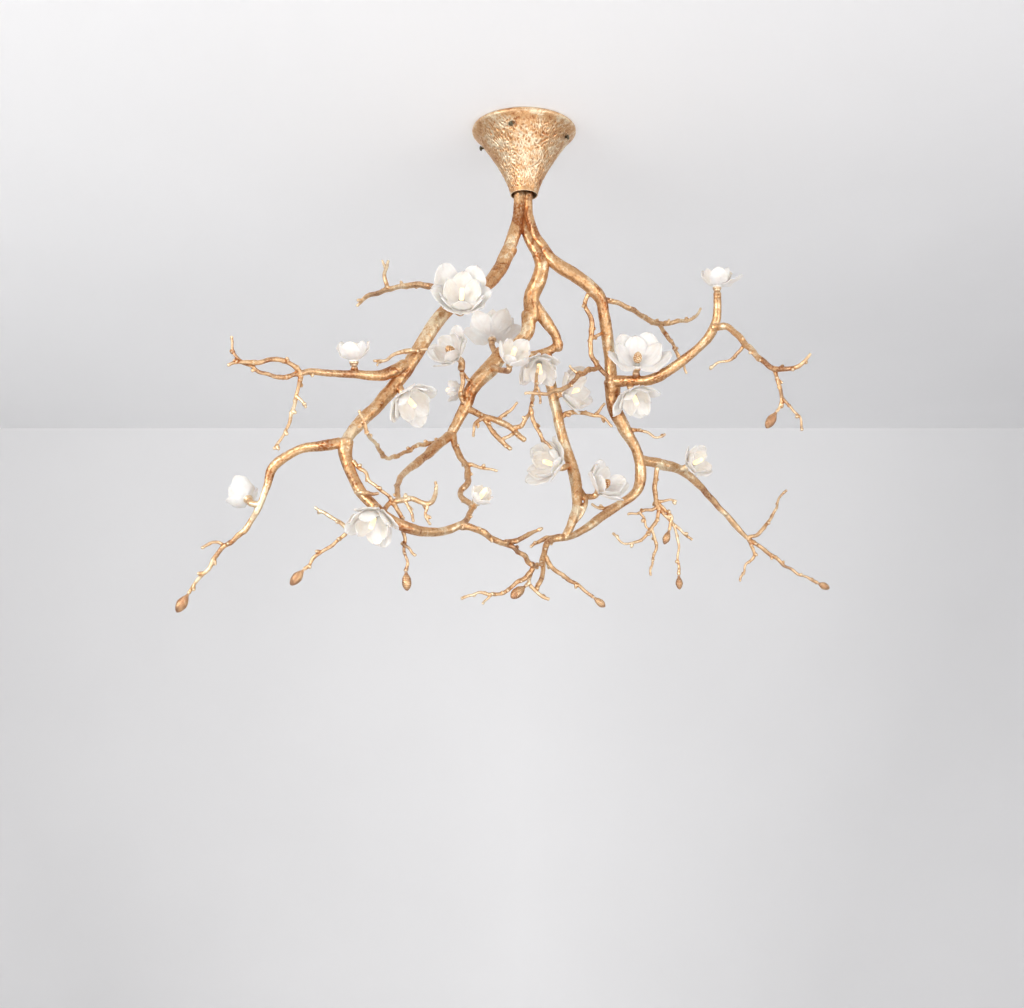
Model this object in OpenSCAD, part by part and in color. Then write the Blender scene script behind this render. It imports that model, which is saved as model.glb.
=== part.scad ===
// Branch chandelier. Gilded cast branches hang from a flared canopy and carry
// porcelain magnolia flowers, each with a small plug-in capsule lamp.
// The origin is the ceiling plane on the canopy's axis. +Z is up and -Y faces the room.

/* [Canopy] */
// Radius of the rim band at the ceiling
canopy_r = 102; // [98:1:115]
// Height from the ceiling to the foot of the flare
canopy_h = 136; // [128:1:150]
// Radius of the opening round the trunk
neck_r = 27; // [26:0.5:32]
// Wall of the cast shell
canopy_wall = 2.2; // [1.6:0.1:3]
// Height of the smooth rim band
rim_h = 8; // [5:0.5:12]
// How sharply the flare opens towards the ceiling
flare_power = 1.38; // [1.2:0.02:1.6]
// Number of raised bark ridges
ridge_count = 13; // [5:1:17]
// Height of a bark ridge
ridge_h = 1.3; // [0.6:0.1:2]

/* [Ceiling fixing] */
// Room between the plate's flange and the canopy
plate_room = 1.6; // [1:0.1:3]
// Thickness of the ceiling plate
plate_t = 2; // [1.5:0.1:3]
// Depth of the down-turned flange that takes the set screws
flange_h = 34; // [32:1:40]
// Diameter of the circle of fixing holes
fixing_pcd = 110; // [100:1:120]
// Diameter of a fixing hole
fixing_d = 5.5; // [4:0.1:6.5]
// Depth of the set screws below the ceiling
screw_depth = 27; // [22:0.5:30]
// Diameter of a set screw
screw_d = 4; // [3:0.1:5]

/* [Hanger] */
// Outer diameter of the threaded tube
tube_d = 10; // [9:0.1:11]
// Bore of the threaded tube
tube_bore = 7; // [5:0.1:7.6]
// Depth of the trunk's flat top below the ceiling
trunk_top = 104; // [100:1:110]
// Radius of the ferrule's flange on the trunk
ferrule_r = 18; // [17:0.5:19]
// Thickness of the ferrule's flange
ferrule_t = 4; // [3:0.5:6]
// Height of the ferrule
ferrule_h = 18; // [14:1:22]
// Width across the corners of a lock nut
nut_w = 18.5; // [17:0.1:20]
// Thickness of a lock nut
nut_t = 5.5; // [4:0.1:7]

/* [Electrics] */
// Length of the lamp driver
driver_l = 48; // [40:1:52]
// Width of the lamp driver
driver_w = 36; // [30:1:40]
// Height of the lamp driver
driver_h = 22; // [18:1:26]
// Length of the terminal block
terminal_l = 30; // [24:1:34]
// Width of the terminal block
terminal_w = 20; // [16:1:24]
// Height of the terminal block
terminal_h = 15; // [12:1:18]
// Diameter of a lead
lead_d = 3.6; // [3:0.1:4]

/* [Branches] */
// Thickness of every branch against the drawn one
branch_scale = 1; // [0.92:0.01:1.06]
// How uneven the cast branches are
lumpiness = 0.05; // [0:0.01:0.08]
// Solder gap where one branch is fitted against another
braze_gap = 0.2; // [0.1:0.05:0.3]
// Length of a leaf bud
bud_l = 34; // [28:1:38]
// Diameter of a leaf bud
bud_d = 17; // [14:0.5:19]

/* [Flowers] */
// Thickness of a petal
petal_t = 1.8; // [1.4:0.1:2.2]
// Width of a petal on the largest flowers
petal_w = 38; // [32:1:40]
// Diameter of the stalk under a flower
stalk_d = 13; // [12:0.5:14]
// Diameter of the collar under a flower
collar_d = 17; // [16:0.5:18]
// Height of the collar
collar_h = 7; // [6:0.5:8]
// Diameter of a lamp holder
holder_d = 11; // [10:0.5:12]
// Height of a lamp holder
holder_h = 10; // [8:0.5:12]
// Diameter of a capsule lamp
lamp_d = 9; // [8:0.5:10]
// Length of a capsule lamp
lamp_l = 24; // [20:1:26]
// Gap between pieces that seat on each other
seat_gap = 0.2; // [0.1:0.05:0.3]

/* [Hidden] */
$fn = 64;

gilt = "#c68a4a";
porcelain = "#f5efe9";
brass = "#b08d57";
steel = "#a9abad";
limb_sides = 9;
twig_sides = 6;
rings_per_span = 2;
screw_turn = -107;
running_gap = 0.3;
plate_r = flare_r(flare_s(flange_h)) - canopy_wall - plate_room;

// ---------------------------------------------------------------- routes
// Each route point is [x, y, z, diameter].
trunk_left = [[-8, 0, -trunk_top, 22], [-8, 0, -130, 22], [-9, 0, -155, 22],
    [-11.5, 0, -180, 22], [-19, -1, -215, 24], [-29, -5, -251, 24]];
trunk_centre = [[0, 5, -140, 14], [-4, 4, -176, 16], [2, 5, -206, 19], [13, 5, -233, 22],
    [27, 5, -256, 24]];
trunk_right = [[8, 2, -trunk_top, 17], [8, 2, -130, 17], [8, 2, -146, 16],
    [11, 2, -181, 15], [23, 3, -219, 17], [40, 5, -245, 18]];
left_limb_route = [[-29, -5, -251, 24], [-37, -8, -269, 25], [-48, -16, -294, 25],
    [-70, -45, -335, 25], [-105, -80, -370, 25], [-140, -100, -400, 26],
    [-175, -125, -455, 25], [-200, -140, -505, 25], [-220, -150, -545, 24],
    [-260, -165, -600, 23], [-295, -185, -645, 21], [-315, -200, -680, 20]];
centre_limb_route = [[28, 5, -258, 22], [34, 6, -278, 27], [27, 11, -306, 29],
    [15, 20, -340, 29], [15, 28, -374, 28]];
loop_left = [[9, 26, -374, 26], [5, 32, -405, 25], [-16, 44, -427, 24],
    [-47, 58, -448, 26]];
loop_right = [[21, 25, -352, 20], [40, 35, -379, 20], [60, 45, -406, 20],
    [66, 52, -429, 19]];
loop_bar = [[68, 52, -422, 16], [42, 55, -438, 17], [6, 57, -446, 17],
    [-40, 58, -450, 17]];
middle_route = [[-45, 58, -442, 28], [-66, 60, -470, 31], [-90, 62, -495, 31],
    [-105, 62, -516, 28], [-112, 62, -540, 24], [-125, 62, -567, 21],
    [-142, 60, -605, 18]];
middle_strand_a = [[-111, 60, -556, 9], [-122, 50, -524, 8], [-118, 42, -500, 8],
    [-122, 37, -482, 8]];
middle_strand_b = [[-98, 62, -506, 7], [-108, 50, -494, 6], [-122, 38, -482, 6]];
right_limb_route = [[40, 5, -248, 19], [61, 8, -274, 24], [96, 14, -295, 26],
    [126, 24, -314, 25], [148, 40, -334, 25], [157, 55, -365, 24], [164, 75, -407, 23],
    [171, 95, -452, 23], [174, 105, -490, 24]];
right_lower_route = [[174, 105, -487, 27], [179, 120, -534, 26], [198, 135, -570, 23],
    [223, 155, -610, 22], [233, 165, -645, 21], [225, 165, -690, 19],
    [189, 150, -721, 18], [148, 120, -754, 17], [107, 90, -787, 16],
    [77, 65, -802, 16]];
right_lower_nub = [[180, 146, -722, 8], [154, 137, -731, 6], [131, 131, -724, 3]];
right_side_nub = [[206, 138, -572, 8], [240, 132, -577, 6], [259, 128, -592, 5],
    [280, 124, -585, 3]];
left_arm_route = [[-212, -146, -522, 20], [-235, -165, -540, 21], [-260, -180, -554, 18],
    [-300, -205, -559, 14], [-340, -230, -564, 13], [-370, -250, -567, 11],
    [-392, -266, -576, 10]];
left_tip_a = [[-386, -262, -574, 8], [-401, -275, -561, 8], [-427, -285, -554, 8],
    [-450, -292, -562, 8], [-484, -305, -566, 7], [-505, -312, -574, 4]];
left_tip_b = [[-386, -263, -576, 7], [-415, -270, -582, 7], [-444, -280, -580, 7],
    [-466, -292, -571, 6], [-482, -303, -566, 5]];
left_tip_up = [[-480, -303, -568, 6], [-495, -305, -548, 5], [-500, -310, -521, 3]];
left_hanging = [[-386, -262, -576, 7], [-392, -265, -604, 6], [-397, -270, -640, 6],
    [-410, -280, -685, 5], [-425, -290, -715, 3]];
left_hanging_side = [[-393, -266, -614, 5], [-375, -272, -638, 3]];
upper_left = [[-138, -102, -398, 11], [-150, -90, -378, 11], [-165, -70, -352, 14],
    [-198, -45, -336, 13], [-242, -10, -328, 10], [-284, 30, -326, 9],
    [-310, 55, -324, 8], [-330, 70, -340, 4]];
upper_left_up = [[-261, 9, -327, 7], [-270, 15, -298, 7], [-268, 18, -276, 6],
    [-264, 20, -262, 3]];
upper_left_fork = [[-269, 18, -282, 4], [-277, 22, -261, 3]];
small_upper = [[-176, -146, -494, 5], [-198, -154, -500, 8], [-221, -168, -506, 7],
    [-245, -182, -524, 6], [-270, -195, -531, 4]];
small_upper_fork = [[-256, -188, -527, 5], [-263, -197, -541, 3]];
lower_left_arm_route = [[-318, -201, -680, 16], [-341, -205, -687, 18],
    [-385, -200, -691, 17], [-420, -195, -705, 16], [-443, -190, -725, 15],
    [-452, -185, -755, 14], [-462, -180, -783, 14], [-472, -175, -803, 13]];
left_bud_route = [[-468, -177, -797, 9], [-490, -165, -826, 9], [-511, -158, -846, 8],
    [-534, -150, -859, 8], [-558, -140, -893, 7], [-581, -130, -918, 6],
    [-595, -125, -938, 6]];
left_bud_side = [[-528, -152, -855, 5], [-550, -155, -851, 5], [-568, -160, -862, 3]];
lower_left_route = [[-315, -200, -672, 22], [-313, -205, -705, 21], [-300, -215, -742, 20],
    [-275, -230, -785, 19], [-240, -235, -818, 18], [-207, -225, -836, 18],
    [-166, -190, -838, 17], [-136, -165, -830, 16], [-112, -150, -818, 14]];
crossing_main = [[-248, -238, -812, 9], [-230, -215, -792, 8], [-199, -198, -779, 9],
    [-172, -182, -787, 8], [-159, -172, -771, 7], [-158, -165, -742, 4]];
crossing_down = [[-172, -184, -784, 6], [-174, -182, -805, 5], [-165, -180, -824, 3]];
crossing_hanging = [[-230, -215, -791, 7], [-215, -212, -812, 7], [-211, -207, -846, 6],
    [-208, -200, -880, 5], [-206, -196, -909, 6]];
crossing_hanging_side = [[-211, -205, -860, 5], [-188, -206, -883, 3]];
crossing_small = [[-211, -203, -784, 5], [-198, -206, -806, 5], [-193, -208, -824, 3]];
crossing_front = [[-294, -234, -776, 4], [-273, -243, -783, 8], [-250, -244, -780, 5]];
crossing_side = [[-300, -214, -716, 6], [-276, -222, -742, 6], [-253, -230, -770, 6],
    [-228, -216, -789, 7]];
back_bud_a = [[-244, -232, -818, 8], [-262, -205, -828, 8], [-302, -192, -834, 8],
    [-338, -190, -811, 6], [-368, -188, -793, 4]];
back_bud_b = [[-298, -193, -833, 7], [-323, -192, -853, 6], [-358, -190, -876, 6],
    [-384, -186, -904, 6]];
zigzag_route = [[-140, 61, -598, 14], [-127, 35, -642, 12], [-110, 10, -675, 12],
    [-106, -20, -710, 11], [-119, -55, -745, 10], [-97, -85, -770, 10],
    [-102, -120, -798, 10], [-113, -146, -817, 9]];
zigzag_side = [[-110, 11, -673, 8], [-84, 5, -677, 6], [-50, 0, -688, 4]];
lower_centre_route = [[-116, -152, -820, 12], [-80, -130, -825, 12],
    [-54, -105, -837, 11], [-31, -88, -840, 10]];
lower_centre_up = [[-38, -93, -840, 9], [0, -65, -825, 8], [33, -40, -803, 5]];
lower_centre_down = [[-38, -92, -839, 9], [-10, -65, -852, 9], [17, -26, -875, 9]];
cluster_down = [[16, -26, -872, 8], [8, -15, -902, 7], [30, -5, -922, 6], [46, 0, -931, 4]];
cluster_left = [[12, -24, -882, 8], [-24, -32, -912, 7], [-60, -42, -928, 6],
    [-90, -52, -925, 5], [-116, -62, -938, 3]];
cluster_left_side = [[-62, -42, -928, 4], [-78, -47, -945, 3]];
cluster_stem = [[80, 67, -800, 11], [44, 45, -815, 11], [34, 25, -845, 10],
    [34, 8, -878, 9], [21, -8, -914, 7]];
cluster_bud_stub = [[10, -14, -900, 7], [0, -20, -909, 6]];
cluster_tip = [[72, 62, -802, 10], [40, 55, -809, 8], [10, 48, -824, 4]];
cluster_right = [[35, 25, -843, 9], [59, 32, -872, 8], [98, 42, -895, 7], [131, 52, -920, 6]];
cluster_link = [[14, -26, -873, 6], [34, 14, -862, 6]];
centre_left_route = [[-143, 57, -603, 16], [-168, 20, -636, 17], [-194, -40, -677, 15],
    [-219, -100, -713, 12], [-226, -150, -746, 9], [-221, -202, -786, 8]];
thin_route = [[-144, 55, -607, 8], [-170, 30, -624, 7], [-200, -8, -640, 8],
    [-222, -50, -662, 7], [-248, -110, -688, 7], [-268, -170, -676, 6],
    [-279, -208, -660, 6], [-290, -220, -627, 4]];
centre_twig_main = [[-113, 62, -546, 13], [-78, 60, -566, 12], [-37, 55, -582, 11],
    [3, 50, -617, 10]];
centre_twig_low = [[-80, 60, -565, 9], [-64, 60, -593, 8], [-48, 62, -610, 9],
    [-24, 65, -631, 8]];
centre_twig_back = [[-74, 60, -567, 7], [-95, 48, -586, 6], [-97, 44, -611, 3]];
centre_twig_up = [[-54, 57, -576, 7], [-31, 55, -556, 6], [-12, 50, -540, 4]];
centre_twig_tall = [[-22, 53, -592, 8], [1, 46, -581, 8], [13, 20, -552, 7],
    [22, -25, -525, 6], [25, -50, -497, 4]];
centre_twig_tall_side = [[22, -22, -528, 5], [29, -20, -545, 4], [29, -20, -563, 3]];
centre_twig_right = [[12, 28, -558, 7], [26, 30, -600, 7], [52, 22, -640, 5]];
centre_twig_link = [[-16, 54, -598, 6], [-42, 61, -611, 6]];
centre_lower_route = [[43, 57, -440, 19], [47, 70, -474, 22], [57, 88, -517, 23],
    [68, 96, -570, 22], [84, 98, -628, 22], [99, 95, -680, 21], [102, 86, -726, 19],
    [93, 73, -767, 18], [80, 66, -798, 16]];
centre_lower_strand = [[102, 94, -692, 8], [118, 92, -718, 8], [113, 82, -745, 8],
    [96, 75, -772, 7]];
centre_lower_twig = [[68, 95, -562, 9], [94, 90, -551, 8], [142, 80, -558, 7],
    [172, 75, -583, 4]];
centre_lower_fork = [[138, 81, -558, 6], [158, 78, -534, 3]];
right_arm_route = [[172, 104, -484, 20], [208, 84, -488, 20], [245, 65, -490, 20],
    [282, 45, -477, 19], [319, 28, -452, 18], [352, 14, -422, 18], [369, 5, -388, 17],
    [371, 0, -343, 17]];
right_end = [[360, 5, -404, 12], [387, -15, -410, 11], [410, -40, -445, 11],
    [432, -70, -484, 10], [454, -95, -515, 9], [474, -115, -522, 8], [497, -130, -523, 7],
    [518, -140, -500, 3]];
right_end_down = [[454, -94, -512, 7], [465, -100, -548, 7], [469, -105, -578, 6],
    [458, -101, -600, 6]];
right_end_right = [[467, -104, -570, 5], [484, -110, -596, 5], [497, -114, -616, 4],
    [501, -115, -639, 3]];
right_end_side = [[414, -44, -451, 6], [402, -35, -469, 6], [379, -20, -479, 5],
    [351, -5, -490, 3]];
upper_right = [[148, 42, -335, 10], [188, 60, -338, 9], [231, 100, -345, 9],
    [273, 150, -350, 10], [315, 180, -334, 8], [347, 200, -323, 7], [368, 215, -294, 3]];
upper_right_low = [[269, 147, -347, 8], [303, 190, -377, 7], [322, 215, -401, 7],
    [337, 230, -431, 3]];
inner_right = [[130, 32, -316, 8], [119, 42, -345, 8], [132, 48, -374, 9],
    [130, 58, -413, 9], [132, 66, -446, 9], [152, 82, -466, 9], [172, 96, -480, 7]];
inner_right_link = [[160, 68, -392, 6], [130, 56, -410, 6]];
inner_right_left = [[148, 78, -462, 8], [124, 55, -474, 9], [104, 28, -494, 8],
    [79, -2, -524, 8], [38, -38, -548, 7], [-1, -50, -550, 3]];
inner_right_side = [[105, 31, -492, 6], [86, 30, -472, 4]];
right_lower_arm_route = [[229, 162, -627, 17], [274, 190, -630, 20], [317, 220, -636, 18],
    [355, 250, -657, 15], [395, 285, -691, 13], [440, 315, -732, 11], [468, 330, -759, 9]];
right_tip_up = [[467, 329, -757, 7], [495, 335, -743, 7], [524, 342, -708, 6],
    [539, 348, -672, 5], [557, 350, -650, 3]];
right_tip_down = [[469, 331, -760, 6], [483, 338, -791, 6], [462, 342, -816, 5],
    [451, 344, -847, 3]];
right_tip_right = [[466, 329, -757, 8], [534, 355, -800, 7], [583, 375, -826, 6],
    [623, 390, -843, 6]];
lower_right_stem = [[270, 190, -629, 9], [262, 191, -672, 9], [265, 195, -703, 9],
    [273, 197, -727, 8]];
lower_right_a = [[267, 195, -706, 6], [308, 202, -704, 3]];
lower_right_b = [[268, 195, -710, 6], [297, 202, -735, 6], [291, 206, -764, 6]];
lower_right_c = [[270, 196, -722, 6], [299, 206, -750, 6], [340, 222, -780, 3]];
lower_right_d = [[297, 205, -746, 5], [311, 212, -792, 5], [309, 217, -821, 5],
    [310, 220, -853, 6]];
lower_right_e = [[269, 196, -717, 7], [232, 189, -729, 6], [206, 186, -735, 3]];
lower_right_f = [[230, 188, -728, 5], [252, 194, -767, 5]];
lower_right_g = [[272, 197, -724, 7], [256, 194, -761, 7], [231, 190, -788, 6],
    [201, 185, -794, 5], [175, 180, -773, 3]];
lower_right_h = [[254, 194, -761, 6], [264, 205, -801, 6], [256, 208, -827, 5],
    [253, 210, -855, 3]];

// Buds: the twig that each one ends, and its size against bud_l.
buds = [[left_bud_route, 1.1], [back_bud_b, 1], [crossing_hanging, 0.95], [cluster_right, 0.8],
    [lower_right_b, 0.85], [lower_right_d, 0.8], [right_tip_right, 0.85], [right_end_down, 1],
    [cluster_bud_stub, 1.1]];

// Flowers: seat, turn about the vertical (0 faces the room, 90 the right), lift
// above level, kind, size, spin and the root of the stalk on its branch.
flowers = [
    [[-117, -118, -407], 5, 45, 3, 1.1, 0, [-134, -104, -402]],
    [[-302, -205, -543], -10, 75, 1, 1, 0, [-302, -206, -560]],
    [[-126, 28, -460], -40, 25, 0, 0.98, 40, [-122, 37, -482]],
    [[-63, 85, -408], 180, 60, 2, 1.1, 0, [-52, 64, -445]],
    [[-29, -12, -487], 25, 48, 1, 1.12, 20, [-66, 60, -468]],
    [[27, 38, -457], 10, -60, 0, 0.92, 0, [24, 50, -444]],
    [[72, 82, -515], 60, 5, 0, 1.05, 30, [57, 88, -517]],
    [[-115, 77, -511], -110, 10, 1, 0.7, 0, [-96, 62, -506]],
    [[-217, -165, -583], 50, -45, 0, 1, 10, [-230, -154, -560]],
    [[-484, -170, -779], -140, 35, 1, 1, 30, [-464, -179, -789]],
    [[-254, -252, -812], -20, -60, 0, 1, 50, [-240, -235, -816]],
    [[-91, -96, -770], 40, 35, 1, 0.75, 0, [-97, -86, -771]],
    [[67, 76, -662], -50, 8, 0, 1.05, 0, [92, 97, -655]],
    [[141, 96, -710], 45, 33, 0, 1, 45, [101, 88, -722]],
    [[332, 206, -631], 40, 10, 0, 0.8, 15, [309, 215, -634]],
    [[371, 0, -333], 0, 85, 4, 1, 0, [371, 0, -350]],
    [[219, 66, -473], 5, 55, 2, 1.15, 0, [217, 81, -488]],
    [[209, 76, -508], 30, -60, 0, 0.95, 0, [209, 83, -488]]
];
coned = [2, 13, 16];

// Rows of petals by kind of flower: sphere radius, angle at the tip, width share, turns.
petal_rows = [
    [[30, 100, 0.88, [0, 120, 240]], [50, 70, 1, [45, 225]], [53, 68, 1, [135, 315]]],
    [[24, 108, 0.85, [60, 180, 300]], [29, 98, 0.95, [0, 120, 240]]],
    [[40, 84, 0.9, [180, 245, 115]], [54, 68, 1, [150, 210]], [57, 66, 1, [85, 275]]],
    [[31, 100, 0.9, [0, 120, 240]], [50, 66, 1, [40, 320]], [56, 74, 1.1, [150, 215]],
        [53, 66, 1, [95, 268]]],
    [[24, 108, 0.85, [60, 180, 300]], [29, 98, 0.95, [0, 120, 240]], [60, 52, 0.95, [85]]]
];

// ------------------------------------------------------------- functions
function unit(v) = v / norm(v);
function place(q) = [q[0], q[1], q[2]];

// Point of a smooth curve through the route's points, t from 0 to len(route) - 1.
function curve_at(p, t) =
    let (n = len(p) - 1, i = min(n - 1, floor(t)), u = t - i,
         a = p[max(0, i - 1)], b = p[i], c = p[i + 1], d = p[min(n, i + 2)])
    0.5 * (2 * b + (c - a) * u + (2 * a - 5 * b + 4 * c - d) * u * u
        + (3 * b - a - 3 * c + d) * u * u * u);

// One ring of a branch about the centre c, square to the direction t.
function ring(c, t, r, sides) =
    let (u = unit(cross(t, [0, 1, 0])), v = cross(t, u))
    [for (k = [0:sides - 1])
        c + r * (cos(k * 360 / sides) * u + sin(k * 360 / sides) * v)];

// End of a route and the way it leaves there.
function end_of(p) = place(p[len(p) - 1]);
function way_of(p) = end_of(p) - place(curve_at(p, len(p) - 1 - 1 / rings_per_span));

// Uneven thickness of a cast branch at its ring i.
function lump(i) = 1 + lumpiness * sin(137 * i + 40);

// Way a flower faces.
function facing(f) =
    [sin(f[1]) * cos(f[2]), -cos(f[1]) * cos(f[2]), sin(f[2])];

// Radius of the canopy's outside at the depth s, 0 under the rim and 1 at the foot.
function flare_r(s) = neck_r + (canopy_r - 4 - neck_r) * pow(1 - s, flare_power);
function flare_z(s) = -rim_h - (canopy_h - rim_h) * s;
function flare_s(depth) = (depth - rim_h) / (canopy_h - rim_h);

// ---------------------------------------------------------------- shapes
// A branch along a route: rings joined by triangles, with flat ends.
module stick(route, sides = twig_sides, grow = 0, from = 0, to = 1000) {
    count = (len(route) - 1) * rings_per_span;
    last = min(to, count);
    curve = [for (i = [0:count]) curve_at(route, i / rings_per_span)];
    rings = [for (i = [from:last])
        let (way = unit(place(curve[min(count, i + 1)]) - place(curve[max(0, i - 1)])),
             longer = i == 0 ? -grow : i == count ? grow : 0)
        ring(place(curve[i]) + longer * way, way,
            curve[i][3] / 2 * branch_scale * lump(i) + grow, sides)];
    walls = [for (i = [0:last - from - 1], k = [0:sides - 1])
        let (a = i * sides + k, b = i * sides + (k + 1) % sides)
        each [[a, a + sides, b + sides], [a, b + sides, b]]];
    start_cap = [for (k = [0:sides - 1]) k];
    end_cap = [for (k = [sides - 1:-1:0]) (last - from) * sides + k];
    polyhedron([for (r = rings) each r], concat(walls, [start_cap, end_cap]));
}

// The stretch of a branch about the point p, grown by the solder gap, which
// shapes the end of a twig that is fitted against it.
module bite(route, p, sides = limb_sides, reach = 2) {
    count = (len(route) - 1) * rings_per_span;
    far = [for (i = [0:count]) norm(place(curve_at(route, i / rings_per_span)) - p)];
    near = [for (i = [0:count]) if (far[i] == min(far)) i][0];
    stick(route, sides, braze_gap, max(0, near - reach), min(count, near + reach));
}

module sticks(routes, sides = twig_sides, grow = 0) {
    for (r = routes) stick(r, sides, grow);
}

// Puts a shape's foot at p with its axis along d.
module aim(p, d) {
    translate(p)
        rotate([0, acos(unit(d)[2]), atan2(d[1], d[0])])
            children();
}

module ring_solid(r_in, r_out, h) {
    difference() {
        cylinder(r = r_out, h = h);
        translate([0, 0, -1]) cylinder(r = r_in, h = h + 2);
    }
}

// The stalk that carries flower number i, ending in a true round seat.
module stalk(i) {
    f = flowers[i];
    d = facing(f);
    foot = f[0] - 7 * d;
    root = f[6];
    stick([[root[0], root[1], root[2], stalk_d - 2], [foot[0], foot[1], foot[2], stalk_d - 1]], 8);
    aim(f[0] - 9 * d, d) cylinder(d = stalk_d, h = 9);
}

// Turns a flower's own frame, foot at the origin and axis up, to its place.
module at_flower(i) {
    f = flowers[i];
    translate(f[0]) rotate([0, 90 - f[2], f[1] - 90]) rotate([0, 0, f[5]]) children();
}

// Outline of a petal on its own sphere: a to half its length, w its width, tip at -X.
module petal_outline(a, w) {
    long = 1.35 * a;
    bow = (long * long + w * w / 4) / w;
    intersection() {
        translate([-0.2 * a, bow - w / 2]) circle(r = bow);
        translate([-0.2 * a, w / 2 - bow]) circle(r = bow);
        translate([0.06 * a, 0]) circle(r = 1.06 * a);
    }
}

// One petal: the patch of a thin sphere that its outline cuts out.
module petal(r, tip_angle, w, foot_z) {
    foot_r = collar_d / 2 - 2;
    foot_angle = asin(foot_r / r);
    middle = (foot_angle + tip_angle) / 2;
    a = r * sin((tip_angle - foot_angle) / 2);
    translate([0, 0, foot_z + r * cos(foot_angle)])
        intersection() {
            rotate([0, 0, 180]) difference() {
                sphere(r = r);
                sphere(r = r - petal_t);
            }
            rotate([0, 180 - middle, 0])
                linear_extrude(r + 1) petal_outline(a, w);
        }
}

module flower(i) {
    f = flowers[i];
    foot = collar_h + seat_gap;
    color(porcelain)
        at_flower(i)
            difference() {
                union() {
                    translate([0, 0, foot]) cylinder(d = collar_d + 1, h = 4);
                    for (row = petal_rows[f[3]], turn = row[3])
                        rotate([0, 0, turn])
                            petal(row[0] * f[4], row[1], petal_w * row[2] * f[4], foot + 2.4);
                }
                cylinder(d = holder_d + 2 * running_gap, h = foot + holder_h);
            }
}

// ------------------------------------------------------ canopy and hanger
module ceiling_plate() {
    color(steel)
        difference() {
            union() {
                translate([0, 0, -plate_t]) cylinder(r = plate_r, h = plate_t);
                translate([0, 0, -flange_h]) ring_solid(plate_r - plate_t, plate_r, flange_h);
            }
            for (k = [0:3])
                rotate([0, 0, 45 + 90 * k])
                    translate([fixing_pcd / 2, 0, -plate_t - 1])
                        cylinder(d = fixing_d, h = plate_t + 2);
            translate([0, 0, -plate_t - 1]) cylinder(d = tube_d + 0.1, h = plate_t + 2);
            translate([-fixing_pcd / 2 + 12, 26, -plate_t - 1]) cylinder(r = 8, h = plate_t + 2);
        }
}

module flare_band(extra, s0, s1, steps) {
    polygon(concat(
        [for (k = [0:steps]) let (s = s0 + (s1 - s0) * k / steps)
            [flare_r(s) + extra * sin(180 * k / steps), flare_z(s)]],
        [for (k = [steps:-1:0]) let (s = s0 + (s1 - s0) * k / steps)
            [flare_r(s) - canopy_wall / 2, flare_z(s)]]));
}

module canopy_shell() {
    steps = 14;
    inner_r = canopy_r - 4 - canopy_wall;
    color(gilt)
        difference() {
            union() {
                rotate_extrude($fn = 96)
                    polygon(concat(
                        [[inner_r, 0], [canopy_r - 1.5, 0], [canopy_r, -1.5],
                            [canopy_r, 1.5 - rim_h], [canopy_r - 1.5, -rim_h]],
                        [for (k = [0:steps]) [flare_r(k / steps), flare_z(k / steps)]],
                        [for (k = [steps:-1:0]) [flare_r(k / steps) - canopy_wall, flare_z(k / steps)]]));
                for (k = [0:ridge_count - 1])
                    rotate([0, 0, -90 + k * 360 / ridge_count + 6 * sin(97 * k)])
                        rotate_extrude(angle = 3 + 1.5 * sin(61 * k), $fn = 96)
                            flare_band(ridge_h, 0.04 + 0.05 * (1 + sin(143 * k)),
                                0.82 + 0.14 * sin(71 * k), 8);
            }
            for (k = [0:3])
                rotate([0, 0, screw_turn + 90 * k])
                    translate([0, 0, -screw_depth])
                        rotate([0, 90, 0]) cylinder(d = screw_d + 0.2, h = canopy_r + 5);
        }
}

module canopy_screws() {
    head_r = screw_d / 2 + 2.5;
    head_foot = flare_r(flare_s(screw_depth - head_r)) + ridge_h + running_gap;
    tip = plate_r + running_gap;
    color(brass)
        for (k = [0:3])
            rotate([0, 0, screw_turn + 90 * k])
                translate([0, 0, -screw_depth])
                    rotate([0, 90, 0]) {
                        translate([0, 0, tip]) cylinder(d = screw_d, h = head_foot + 1 - tip);
                        translate([0, 0, head_foot]) cylinder(r = head_r, h = 4);
                    }
}

module hanger_tube() {
    color(steel)
        translate([0, 0, seat_gap - trunk_top])
            ring_solid(tube_bore / 2, tube_d / 2, trunk_top - 2 * seat_gap);
}

module lock_nut() {
    difference() {
        cylinder(d = nut_w, h = nut_t, $fn = 6);
        translate([0, 0, -1]) cylinder(d = tube_d + 0.1, h = nut_t + 2);
    }
}

module hanger_nuts() {
    color(brass) {
        translate([0, 0, -plate_t - seat_gap - nut_t]) lock_nut();
        translate([0, 0, ferrule_h + seat_gap - trunk_top]) lock_nut();
    }
}

module trunk_ferrule() {
    color(brass)
        translate([0, 0, seat_gap - trunk_top])
            rotate_extrude()
                polygon([[tube_d / 2 + 0.05, 0], [ferrule_r, 0], [ferrule_r, ferrule_t],
                    [tube_d / 2 + 4, ferrule_t], [tube_d / 2 + 4, ferrule_h - seat_gap],
                    [tube_d / 2 + 0.05, ferrule_h - seat_gap]]);
}

module driver() {
    color("#e9e7e1")
        translate([16, -driver_w / 2, -plate_t - seat_gap - driver_h])
            difference() {
                cube([driver_l, driver_w, driver_h]);
                for (y = [-1, driver_w - 7])
                    translate([driver_l - 8, y, -1]) cube([9, 8, driver_h - 3]);
            }
}

module terminal_block() {
    color("#dcdad2")
        translate([-20 - terminal_l, -terminal_w / 2, -plate_t - seat_gap - terminal_h])
            difference() {
                cube([terminal_l, terminal_w, terminal_h]);
                for (k = [0:2])
                    translate([terminal_l * (k + 0.5) / 3, terminal_w / 2, -1])
                        cylinder(d = 5, h = 6);
            }
}

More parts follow.
